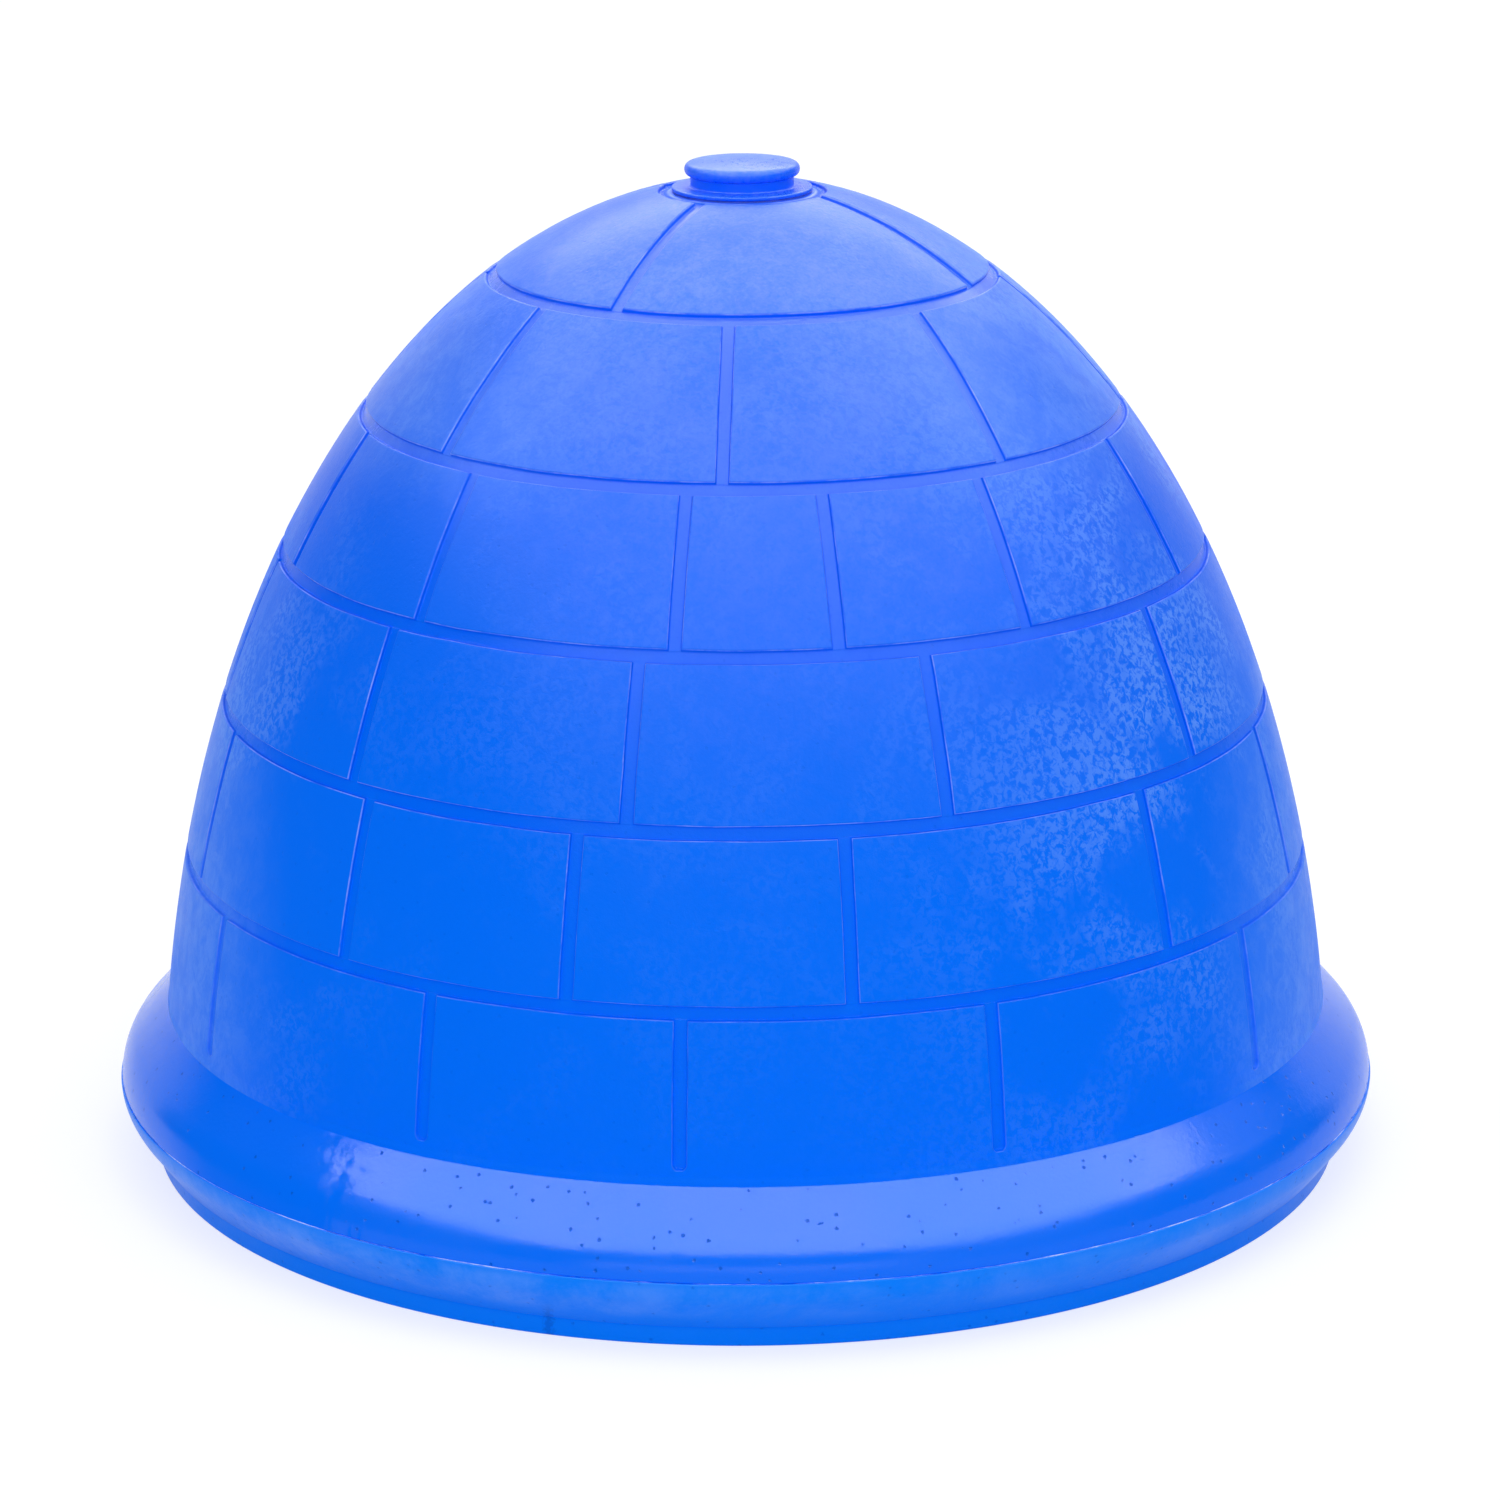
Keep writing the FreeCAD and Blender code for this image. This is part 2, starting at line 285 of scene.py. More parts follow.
# %% Strips of blocks
EDGE_OFFSETS = np.array([2.2, 3.4, 4.0, 4.4, 4.8, 5.15, 5.6, 6.4, 8.5]) * MM
STOP_OFFSETS = (5.0, 7.0, 9.0, 9.8, 10.3, 10.8, 11.3, 11.9, 12.8, 14.0, 15.5, 17.5)
COLUMN_GAP = 12 * MM
ROW_GAP = 11 * MM
SKIRT_TURNS = even_turns(288)
CROWN_TURNS = even_turns(144)


def column_plan(directions, mean_radius):
    """For each column: its joint's direction, its distance from it, and how far it is into the gap."""
    plan = []
    offsets = np.concatenate([-EDGE_OFFSETS[::-1], EDGE_OFFSETS])
    ordered = sorted(math.radians(direction) for direction in directions)
    following = ordered[1:] + [ordered[0] + 2 * math.pi]
    for here, after in zip(ordered, following):
        plan += [(here, after, offset, -1.0) for offset in offsets]
        filling = max(int((after - here) * mean_radius / COLUMN_GAP) - 2, 3)
        plan += [(here, after, 0.0, (step + 1) / (filling + 1)) for step in range(filling)]
    return np.array(plan)


def columns_at(plan, radius):
    """The turn of every column at one radius, and its distance from the nearest upright joint."""
    here, after, offset, share = plan.T
    widest = EDGE_OFFSETS[-1] / radius
    spread = (here + widest) + (after - here - 2 * widest) * share
    turns = np.where(share < 0, here + offset / radius, spread)
    away = np.minimum(np.abs(turns - here), np.abs(after - turns)) * radius
    return turns, np.where(share < 0, np.abs(offset), away)


def row_slopes(lower, upper, is_bottom):
    """Slope lengths of a course's rows, from its lower edge up."""
    if is_bottom:
        low_rows = [lower - value * MM for value in STOP_OFFSETS]
    else:
        low_rows = [lower - value for value in EDGE_OFFSETS]
    high_rows = [upper + value for value in EDGE_OFFSETS[::-1]]
    filling = round((low_rows[-1] - high_rows[0]) / ROW_GAP)
    middle = np.linspace(low_rows[-1], high_rows[0], filling + 1)[1:-1]
    return np.concatenate([low_rows, middle, high_rows])


def add_course(shell, index):
    """Adds one course of blocks and returns its lowest and highest rings with their turns."""
    lower, upper = LEVELS[index], LEVELS[index + 1]
    is_bottom = index == 0
    mean_radius = float(dome_point(angle_at(0.5 * (lower + upper)))[0])
    plan = column_plan(UPRIGHTS[index], mean_radius)
    rings = []
    for slope in row_slopes(lower, upper, is_bottom):
        angle = angle_at(slope)
        radius, height = dome_point(angle)
        turns, upright = columns_at(plan, radius)
        bed = slope - upper if is_bottom else min(slope - upper, lower - slope)
        if is_bottom:
            short = max(JOINT_STOP + JOINT_HALF - (lower - slope), 0.0)
            upright = np.hypot(upright, short)
        numbers = shell.ring(radius, height, turns, bed, upright, dome_normal(angle))
        if rings:
            shell.quads(rings[-1][0], numbers)
        rings.append((numbers, turns))
    return rings[0], rings[-1]


dome_mesh_plan = Shell()
course_edges = [add_course(dome_mesh_plan, index) for index in range(len(UPRIGHTS))]
for below, above in zip(course_edges, course_edges[1:]):
    dome_mesh_plan.zip(*below[1], *above[0])
print("block strips", dome_mesh_plan.count, "points")

# %% [markdown]
# ## Skirt, lip and inside
# Below the ledge the dome is a plain lathe shape: a flare, a rounded lip, the flat edge that sits on
# the pan, and then the inside wall back up to the vent hole. One outline drawn down and round and up
# again makes it, so the shell closes on itself and has a real thickness everywhere.


# %% Outline below the ledge and up the inside
LEDGE_START = 4 * MM
EDGE_TURN = 0.06
WALL_RINGS = 48
LONG_RUN, SHORT_RUN = 16 * MM, 6 * MM


def arc_points(centre, radius, first, last, steps):
    turned = [first + (last - first) * step / steps for step in range(steps + 1)]
    return [(centre[0] + radius * math.cos(t), centre[1] + radius * math.sin(t)) for t in turned]


def skirt_outline():
    """From just above the ledge down over flare, lip and seam edge, and up the inside to the hole."""
    centre = (LIP_HALF - LIP_ROUND, SEAM)
    inner_round = LIP_ROUND - SKIRT_WALL
    start = tuple(dome_point(angle_at(LEDGE_SLOPE - LEDGE_START)))
    ledge = tuple(dome_point(angle_at(LEDGE_SLOPE)))
    outer = arc_points(centre, LIP_ROUND, FLARE_LEAN, EDGE_TURN, 10)
    inner = arc_points(centre, inner_round, EDGE_TURN, FLARE_LEAN, 10)
    inner_ledge = flare_meets(WALL, inner_round)
    ceiling = LAND - SKIRT_WALL
    top_angle = math.acos(ceiling / (DOME_TALL - WALL))
    wall_angles = np.linspace(inner_ledge, top_angle, WALL_RINGS)
    wall = [tuple(dome_point(angle, WALL)) for angle in wall_angles]
    corners = [start, ledge] + outer + [(LIP_HALF, SEAM), (LIP_HALF - SKIRT_WALL, SEAM)] + inner + wall
    rounds = [1.6] + [0] * len(outer) + [1.2, 1.2] + [0] * (len(inner) + len(wall) - 1) + [2]
    return rounded(corners + [(HOLE_RADIUS + 1 * MM, ceiling)], rounds, LONG_RUN)


def crown_outline():
    """From the inside edge of the vent hole up through it and out over the flat land."""
    ceiling = LAND - SKIRT_WALL
    corners = [(HOLE_RADIUS, ceiling), (HOLE_RADIUS, LAND), (LAND_RADIUS, LAND)]
    return rounded(corners, [0.8], SHORT_RUN)


def add_rings(shell, outline, turns):
    """Adds a ring for each point of an outline, each joined to the one before it."""
    rings = []
    for radius, height in outline:
        numbers = shell.ring(radius, height, turns)
        if rings:
            shell.quads(numbers, rings[-1])
        rings.append(numbers)
    return rings


skirt_rings = add_rings(dome_mesh_plan, skirt_outline(), SKIRT_TURNS)
crown_rings = add_rings(dome_mesh_plan, crown_outline(), CROWN_TURNS)
dome_mesh_plan.zip(skirt_rings[0], SKIRT_TURNS, *course_edges[0][0])
dome_mesh_plan.zip(*course_edges[-1][1], crown_rings[-1], CROWN_TURNS)
dome_mesh_plan.zip(crown_rings[0], CROWN_TURNS, skirt_rings[-1], SKIRT_TURNS)
print("dome mesh", dome_mesh_plan.count, "points", len(dome_mesh_plan.faces), "faces")

# %% [markdown]
# ## Pressing in the joints
# The joints follow a rule, so a node tree makes them. It reads how far each point is from the nearest
# level and upright joint, lets those distances wander a little as a hand-cut mould does, and turns
# them into a trough with steep sides and a flat floor. The same tree gives the plastic its shallow
# dents. Every size is a named input, so the pattern can be tried deeper, wider or neater.


# %% Node helpers
def link(value, socket):
    """Sets a socket from another socket or from a plain value."""
    if isinstance(value, bpy.types.NodeSocket):
        socket.id_data.links.new(value, socket)
    else:
        socket.default_value = value


def node(tree, kind, inputs=None, **settings):
    """Adds a node, sets its options, then its inputs by name or number. Returns its first output in use."""
    made = tree.nodes.new(kind)
    for name, value in settings.items():
        setattr(made, name, value)
    for key, value in (inputs or {}).items():
        link(value, made.inputs[key])
    return next((socket for socket in made.outputs if socket.enabled), None)


def maths(operation, *values):
    """A math node in the tree that the first socket among its values belongs to."""
    tree = next(value.id_data for value in values if isinstance(value, bpy.types.NodeSocket))
    return node(tree, "ShaderNodeMath", dict(enumerate(values)), operation=operation)


def times(product, *values):
    """The product of two or more sockets or numbers."""
    for value in values:
        product = maths("MULTIPLY", product, value)
    return product


def scaled(value, gain, offset):
    return maths("MULTIPLY_ADD", value, gain, offset)


def swing(value, amount, around=0.0):
    """Makes a noise of 0 to 1 swing by half an amount to each side of another value."""
    return scaled(maths("SUBTRACT", value, 0.5), amount, around)


def ramp(value, low, high, first=0.0, last=1.0, kind="SMOOTHSTEP"):
    """Turns the values between low and high into first to last, with soft ends."""
    inputs = {"Value": value, "From Min": low, "From Max": high, "To Min": first, "To Max": last}
    return node(value.id_data, "ShaderNodeMapRange", inputs, interpolation_type=kind)


def band(value, rises, risen, falls, fallen):
    """1 between two values and 0 outside them, with soft ends."""
    return times(ramp(value, rises, risen), ramp(value, falls, fallen, 1.0, 0.0))


def geometry_noise(place, seed, scale, detail, roughness=0.5):
    """A noise that a seed changes, for node trees that shape meshes."""
    inputs = {"Vector": place, "W": seed, "Scale": scale, "Detail": detail, "Roughness": roughness}
    return node(place.id_data, "ShaderNodeTexNoise", inputs, noise_dimensions="4D")


def geometry_tree(name, **amounts):
    """A tree with geometry in and out, an input for each named amount, and one for the plastic."""
    tree = bpy.data.node_groups.new(name, "GeometryNodeTree")
    for in_out in ("OUTPUT", "INPUT"):
        tree.interface.new_socket("Geometry", in_out=in_out, socket_type="NodeSocketGeometry")
    for label, value in amounts.items():
        kind = "NodeSocketInt" if isinstance(value, int) else "NodeSocketFloat"
        socket = tree.interface.new_socket(label.replace("_", " "), in_out="INPUT", socket_type=kind)
        socket.default_value = value
    tree.interface.new_socket("Plastic", in_out="INPUT", socket_type="NodeSocketMaterial")
    return tree, tree.nodes.new("NodeGroupInput").outputs


def close_tree(tree, geometry, material):
    """Ends a tree with real meshes and their material."""
    real = node(tree, "GeometryNodeRealizeInstances", {"Geometry": geometry})
    dressed = node(tree, "GeometryNodeSetMaterial", {"Geometry": real, "Material": material})
    node(tree, "NodeGroupOutput", {"Geometry": dressed})
    return tree


def plain_mesh(name, points, faces):
    made = bpy.data.meshes.new(name)
    made.from_pydata(points, [], faces)
    return made


def make_object(name, data):
    made = bpy.data.objects.new(name, data)
    bpy.context.scene.collection.objects.link(made)
    return made


def run_tree(thing, tree, plastic):
    """Runs a node tree on an object with the given plastic and keeps the result as its plain mesh."""
    modifier = thing.modifiers.new(tree.name, "NODES")
    modifier.node_group = tree
    modifier[tree.interface.items_tree["Plastic"].identifier] = plastic
    bake(thing)


def bake(thing):
    """Replaces an object's mesh by what its modifiers make of it, and removes them."""
    graph = bpy.context.evaluated_depsgraph_get()
    result = bpy.data.meshes.new_from_object(thing.evaluated_get(graph), depsgraph=graph)
    thing.modifiers.clear()
    result.name = thing.name
    thing.data = result


print("node helpers ready")

# %% [markdown]
# ## The tree for the joints
# The level and the upright joints each give a trough, and the deeper one wins at each point. The
# result is stored as the joint attribute, which the finish reads later.

# %% Joint tree
def make_joint_tree():
    tree, given = geometry_tree(
        "moulded joints", Joint_Depth=JOINT_DEPTH, Upright_Share=0.86, Top_Half_Width=JOINT_HALF,
        Floor_Half_Width=JOINT_FLOOR_HALF, Wander=0.8 * MM, Wander_Detail=22.0, Dent_Depth=0.8 * MM,
        Dent_Detail=9.0, Seed=4.0,
    )
    place = node(tree, "GeometryNodeInputPosition")

    def stored(name, data_type="FLOAT"):
        return node(tree, "GeometryNodeInputNamedAttribute", {"Name": name}, data_type=data_type)

    def joint_noise(scale, seed_step):
        return geometry_noise(place, maths("ADD", given["Seed"], seed_step), scale, 2.0)

    def trough(attribute, seed_step):
        """1 on the joint's floor and 0 on the blocks, with a wandering edge."""
        sway = swing(joint_noise(given["Wander Detail"], seed_step), 2.0)
        wandering = scaled(sway, given["Wander"], stored(attribute))
        return ramp(wandering, given["Floor Half Width"], given["Top Half Width"], 1.0, 0.0)

    level = trough("bed", 0.0)
    upright = trough("upright", 7.0)
    trough_depth = maths("MAXIMUM", level, times(upright, given["Upright Share"]))
    dent = times(joint_noise(given["Dent Detail"], 19.0), given["Dent Depth"])
    depth = scaled(trough_depth, given["Joint Depth"], dent)
    inputs = {0: stored("outward", "FLOAT_VECTOR"), "Scale": times(depth, -1.0)}
    inward = node(tree, "ShaderNodeVectorMath", inputs, operation="SCALE")
    pressed = node(tree, "GeometryNodeSetPosition", {"Geometry": given["Geometry"], "Offset": inward})
    inputs = {"Geometry": pressed, "Name": "joint", "Value": maths("MAXIMUM", level, upright)}
    kept = node(tree, "GeometryNodeStoreNamedAttribute", inputs, data_type="FLOAT", domain="POINT")
    smooth = node(tree, "GeometryNodeSetShadeSmooth", {"Geometry": kept})
    return close_tree(tree, smooth, given["Plastic"])


dome_plastic = bpy.data.materials.new("dome_plastic")
dome = make_object("dome", dome_mesh_plan.mesh("dome"))
run_tree(dome, make_joint_tree(), dome_plastic)
print("dome after its joints", len(dome.data.vertices), "points")

# %% [markdown]
# ## The doorway
# The doorway is an arch cut through the front of the dome, with a raised surround that follows the
# curve. The surround is one loop of cross-sections carried round the arch. Each of its points is
# given as a distance out from the opening and a height above the dome's curve, and the curve itself
# says how far forward that point lies. A boolean then joins it to the wall that was cut for it.

# %% Arch and surround
DOOR_HALF = 170 * MM
DOOR_SILL = 125 * MM
DOOR_SPRING = 355 * MM
DOOR_CORNER = 45 * MM
CUT_MARGIN = 2 * MM
# The surround's section: distance out from the opening, and height above the dome's curve, in mm.
SURROUND_SECTION = [
    (33, -4), (33, -0.6), (30.4, 1.0), (30, 6), (0, 6), (0, -8.2), (11, -8.2), (12.5, -6), (12.5, -4),
]
ARCH_STEP = 7 * MM
# The cutter runs from well in front of the dome to a little before its axis.
CUTTER_DEPTHS = (-DOME_HALF - 0.1, -0.12)
SURROUND_ROUNDS = [1.0, 2.0, 3.0, 3.2, 2.2, 1.2, 0]


def arch_places(step):
    """Points round the arch in X and Z, each with its direction away from the opening."""
    half, corner = DOOR_HALF, DOOR_CORNER
    corner_z = DOOR_SILL + corner
    places = []

    def straight(start, end, away):
        runs = max(round(math.dist(start, end) / step), 1)
        places.extend((between(start, end, index / runs), away) for index in range(runs))

    def turning(centre, radius, first, last):
        runs = max(math.ceil(abs(last - first) * radius / step), 10)
        for index in range(runs):
            turned = first + (last - first) * index / runs
            away = (math.cos(turned), math.sin(turned))
            places.append(((centre[0] + radius * away[0], centre[1] + radius * away[1]), away))

    straight((corner - half, DOOR_SILL), (half - corner, DOOR_SILL), (0, -1))
    turning((half - corner, corner_z), corner, -math.pi / 2, 0)
    straight((half, corner_z), (half, DOOR_SPRING), (1, 0))
    turning((0, DOOR_SPRING), half, 0, math.pi)
    straight((-half, DOOR_SPRING), (-half, corner_z), (-1, 0))
    turning((corner - half, corner_z), corner, math.pi, 1.5 * math.pi)
    return places


def on_front(x, z, rise):
    """The point of the dome's front, raised by a height above its curve, straight ahead of X and Z."""
    level = max(1 - (z / (DOME_TALL + rise)) ** 2, 0)
    radius = (DOME_HALF + rise) * math.sqrt(level)
    return (x, -math.sqrt(radius**2 - x**2), z)


def closed_mesh(name, points, faces):
    """A mesh of a closed surface with all its faces turned outwards."""
    made = plain_mesh(name, points, faces)
    face_outwards(made)
    return made


def faces_between(loop, after):
    """Faces that join two loops of point numbers of equal count. A number that repeats is kept once."""
    corners = zip(loop, loop[1:] + loop[:1], after[1:] + after[:1], after)
    return [list(dict.fromkeys(face)) for face in corners]


def loop_mesh(name, loops):
    """A closed mesh from loops of equal count, each joined to the next and the last to the first."""
    count = len(loops[0])
    numbers = [list(range(index * count, (index + 1) * count)) for index in range(len(loops))]
    faces = [face for pair in zip(numbers, numbers[1:] + numbers[:1]) for face in faces_between(*pair)]
    return closed_mesh(name, [point for loop in loops for point in loop], faces)


def face_outwards(data):
    shaped = bmesh.new()
    shaped.from_mesh(data)
    bmesh.ops.recalc_face_normals(shaped, faces=shaped.faces)
    shaped.to_mesh(data)
    shaped.free()


def make_surround():
    corners = [(out * MM, rise * MM) for out, rise in SURROUND_SECTION]
    outline = rounded(corners, SURROUND_ROUNDS, SHORT_RUN, 5)
    loops = []
    for (x, z), (out_x, out_z) in arch_places(ARCH_STEP):
        loops.append([on_front(x + out_x * out, z + out_z * out, rise) for out, rise in outline])
    return loop_mesh("surround", loops)


def make_cutter():
    """A prism through the front wall, a little larger than the opening, so the surround lines it."""
    margin = CUT_MARGIN
    flat = [(x + out_x * margin, z + out_z * margin) for (x, z), (out_x, out_z) in arch_places(ARCH_STEP)]
    points = [(x, depth, z) for depth in CUTTER_DEPTHS for x, z in flat]
    count = len(flat)
    faces = [list(range(count)), list(range(count, 2 * count))[::-1]]
    for index in range(count):
        after = (index + 1) % count
        faces.append((index, count + index, count + after, after))
    return closed_mesh("door cutter", points, faces)


def combine(thing, other_mesh, operation):
    """Cuts a closed mesh from a piece, or joins it to the piece, and keeps the result."""
    other = make_object("other", other_mesh)
    modifier = thing.modifiers.new(operation, "BOOLEAN")
    modifier.operation = operation
    modifier.solver = "MANIFOLD"
    modifier.object = other
    bake(thing)
    bpy.data.objects.remove(other)


combine(dome, make_cutter(), "DIFFERENCE")
combine(dome, make_surround(), "UNION")
dome.data.polygons.foreach_set("use_smooth", [True] * len(dome.data.polygons))
print("dome with its doorway", len(dome.data.polygons), "faces")

# %% [markdown]
# ## The floor pan
# The pan is a plain lathe shape: a foot ring, a band that leans out, a rounded rim with a flat shelf
# for the dome's edge, a locating wall inside it, a gutter and a raised floor on a ring channel. Every
# corner gets a moulder's radius, because a sharp corner never fills in this process.


# %% Lathe
def lathe(name, outline, count):
    """Turns an outline about the Z axis. Points on the axis become one point each."""
    points, rings = [], []
    for radius, height in outline:
        if radius < 1e-6:
            rings.append([len(points)] * count)
            points.append((0, 0, height))
        else:
            rings.append(list(range(len(points), len(points) + count)))
            turns = even_turns(count)
            points += [(radius * math.cos(t), radius * math.sin(t), height) for t in turns]
    pairs = list(zip(rings, rings[1:]))
    if outline[0][0] >= 1e-6:
        pairs.append((rings[-1], rings[0]))
    faces = [face for pair in pairs for face in faces_between(*pair)]
    made = closed_mesh(name, points, faces)
    made.polygons.foreach_set("use_smooth", [True] * len(faces))
    return make_object(name, made)


RIM_ROUND = 30 * MM
RIM_LEAN = math.radians(37)
PAN_WALL = 5 * MM
PAN_TURNS = 256
VENT_TURNS = 128
FOOT_TALL = 15 * MM
FOOT_STEP = 3 * MM
FLOOR_TOP = 24 * MM
FLOOR_HALF = 405 * MM
GUTTER = 22 * MM
SPIGOT_GAP = 2.5 * MM
CHANNEL_RADIUS = 215 * MM
CHANNEL_HALF = 15 * MM
CHANNEL_LEAN = math.tan(math.radians(30))


def channel(half, high, low):
    """Corners of the ring channel's section, from the inner side to the outer one."""
    slant = (high - low) * CHANNEL_LEAN
    corners = ((-half - slant, high), (-half, low), (half, low), (half + slant, high))
    return [(CHANNEL_RADIUS + out, height) for out, height in corners]


def pan_outline():
    """From the axis under the floor, out to the foot, up the band, over the rim and back in."""
    rim_x = PAN_HIGH.x - RIM_ROUND
    outer_touch = (rim_x + RIM_ROUND * math.cos(RIM_LEAN), SEAM - RIM_ROUND * math.sin(RIM_LEAN))
    inner = RIM_ROUND - PAN_WALL
    inner_touch = (rim_x + inner * math.cos(RIM_LEAN), SEAM - inner * math.sin(RIM_LEAN))
    band_foot = outer_touch[0] - (outer_touch[1] - FOOT_TALL) * math.tan(RIM_LEAN)
    foot = band_foot - FOOT_STEP
    gutter_outer = inner_touch[0] - (inner_touch[1] - PAN_WALL) * math.tan(RIM_LEAN)
    gutter_inner = gutter_outer - GUTTER
    spigot_top = PAN_HIGH.z
    reach = math.sqrt((LIP_ROUND - SKIRT_WALL) ** 2 - (spigot_top - SEAM) ** 2)
    spigot = LIP_HALF - LIP_ROUND + reach - SPIGOT_GAP
    under = FLOOR_TOP - PAN_WALL
    low_half = CHANNEL_HALF + PAN_WALL * CHANNEL_LEAN
    rim = arc_points((rim_x, SEAM), RIM_ROUND, -RIM_LEAN, -0.05, 8)
    corners = [
        (0, under), *channel(low_half, under, 0), (FLOOR_HALF - 3 * MM, under),
        (gutter_inner - 3 * MM, 0), (foot, 0), (foot, FOOT_TALL),
        (band_foot, FOOT_TALL), *rim, (PAN_HIGH.x, SEAM), (spigot, SEAM), (spigot, spigot_top),
        (spigot - PAN_WALL, spigot_top), (spigot - PAN_WALL, SEAM - 6 * MM),
        (inner_touch[0] - 9 * MM, inner_touch[1] - 6 * MM), (gutter_outer, PAN_WALL),
        (gutter_inner, PAN_WALL), (FLOOR_HALF, FLOOR_TOP),
        *channel(CHANNEL_HALF, FLOOR_TOP, PAN_WALL)[::-1], (0, FLOOR_TOP),
    ]
    rounds = [4, 1.5, 1.5, 4, 4, 1.5, 1.5, 1.2, 2.5, 0] + [0] * (len(rim) - 1) + [1.2, 1.5, 1.2, 1.2, 4, 4]
    rounds += [4, 3, 6, 5, 4, 4, 5]
    return rounded(corners, rounds, LONG_RUN, 5)


pan_plastic = bpy.data.materials.new("pan_plastic")
pan = lathe("pan", pan_outline(), PAN_TURNS)
pan.data.materials.append(pan_plastic)
print("pan", len(pan.data.polygons), "faces")

# %% [markdown]
# ## Cap and neck
# The cap is a low crowned disc with a full round at its rim, on a sleeve that drops into the neck.
# The neck is a flanged bush. Both are lathe shapes. The sleeve's air windows repeat round the axis,
# so a node tree places one cutter on each point of a circle and subtracts them all at once.

# %% Cap, neck and windows
CAP_RADIUS = CAP_HIGH.x
CAP_EDGE = 9.5 * MM
CAP_CROWN = 3 * MM
CAP_WALL = 3 * MM
NECK_BORE = 33 * MM
NECK_RADIUS = 38 * MM
NECK_TALL = 8 * MM
FLANGE_THICK = 2.6 * MM
SLEEVE_GAP = 0.5 * MM
SLEEVE_WALL = 2.5 * MM
WINDOW_DROP = 3 * MM
WINDOW_TALL = 12 * MM
WINDOW_WIDE = 20 * MM
NECK_RUN = 5 * MM


def cap_outline():
    base = NECK_HIGH.z
    half = CAP_EDGE / 2
    inner_edge = CAP_RADIUS - half
    dish = (inner_edge**2 + CAP_CROWN**2) / (2 * CAP_CROWN)
    centre = base + CAP_EDGE + CAP_CROWN - dish
    across = np.linspace(0, inner_edge, 13)
    crown = list(zip(across.tolist(), (centre + np.sqrt(dish**2 - across**2)).tolist()))
    rim = arc_points((inner_edge, base + half), half, math.pi / 2 - 0.2, -math.pi / 2, 14)
    sleeve = NECK_BORE - SLEEVE_GAP
    low = CAP_LOW.z
    corners = [*crown[:-1], *rim, (sleeve, base), (sleeve, low), (sleeve - SLEEVE_WALL, low),
               (sleeve - SLEEVE_WALL, base + CAP_WALL), (0, base + CAP_WALL)]
    rounds = [0] * (len(crown) - 2 + len(rim)) + [0.8, 0.8, 0.8, 1.5]
    return rounded(corners, rounds, SHORT_RUN)


def neck_outline():
    low, high = NECK_LOW.z, NECK_HIGH.z
    flange_top = high - NECK_TALL
    flange_base = flange_top - FLANGE_THICK
    tail = HOLE_RADIUS - 1 * MM
    corners = [
        (NECK_BORE, 0.5 * (low + high)), (NECK_BORE, low), (tail, low), (tail, flange_base),
        (NECK_HIGH.x, flange_base), (NECK_HIGH.x, flange_top), (NECK_RADIUS, flange_top),
        (NECK_RADIUS, high), (NECK_BORE, high), (NECK_BORE, 0.5 * (low + high) + 1 * MM),
    ]
    rounds = [0.6, 0.6, 0.4, 0.5, 1.0, 1.6, 0.6, 0.6]
    return rounded(corners, rounds, NECK_RUN)


def make_window_tree():
    height = NECK_HIGH.z - WINDOW_DROP - WINDOW_TALL / 2
    tree, given = geometry_tree("air windows", Count=6, Radius=NECK_BORE, Height=height, Width=WINDOW_WIDE,
                                Tall=WINDOW_TALL)
    size = node(tree, "ShaderNodeCombineXYZ", {"X": 12 * MM, "Y": given["Width"], "Z": given["Tall"]})
    box = node(tree, "GeometryNodeMeshCube", {"Size": size})
    turn = maths("DIVIDE", 2 * math.pi, given["Count"])
    turned = times(node(tree, "GeometryNodeInputIndex"), turn)
    across, along = (times(maths(part, turned), given["Radius"]) for part in ("COSINE", "SINE"))
    out = node(tree, "ShaderNodeCombineXYZ", {"X": across, "Y": along, "Z": given["Height"]})
    places = node(tree, "GeometryNodePoints", {"Count": given["Count"], "Position": out})
    facing = node(tree, "ShaderNodeCombineXYZ", {"Z": turned})
    inputs = {"Points": places, "Instance": box, "Rotation": facing}
    boxes = node(tree, "GeometryNodeInstanceOnPoints", inputs)
    real = node(tree, "GeometryNodeRealizeInstances", {"Geometry": boxes})
    cut = node(tree, "GeometryNodeMeshBoolean", {"Mesh 1": given["Geometry"], "Mesh 2": real},
               operation="DIFFERENCE", solver="EXACT")
    return close_tree(tree, cut, given["Plastic"])


vent_plastic = bpy.data.materials.new("vent_plastic")
cap = lathe("cap", cap_outline(), VENT_TURNS)
run_tree(cap, make_window_tree(), vent_plastic)
neck = lathe("neck", neck_outline(), VENT_TURNS)
neck.data.materials.append(vent_plastic)
print("cap", len(cap.data.polygons), "faces, neck", len(neck.data.polygons), "faces")

# %% [markdown]
# ## The flash line
# Two shells that meet leave a thin ragged line of trimmed plastic along the seam. It follows the
# seam's circle, so a node tree runs a small round bead along that circle and lets a noise push each
# point in and out and up and down, as a trimming knife leaves it.

# %% Flash bead
FLASH_RADIUS = LIP_HALF - 0.7 * MM


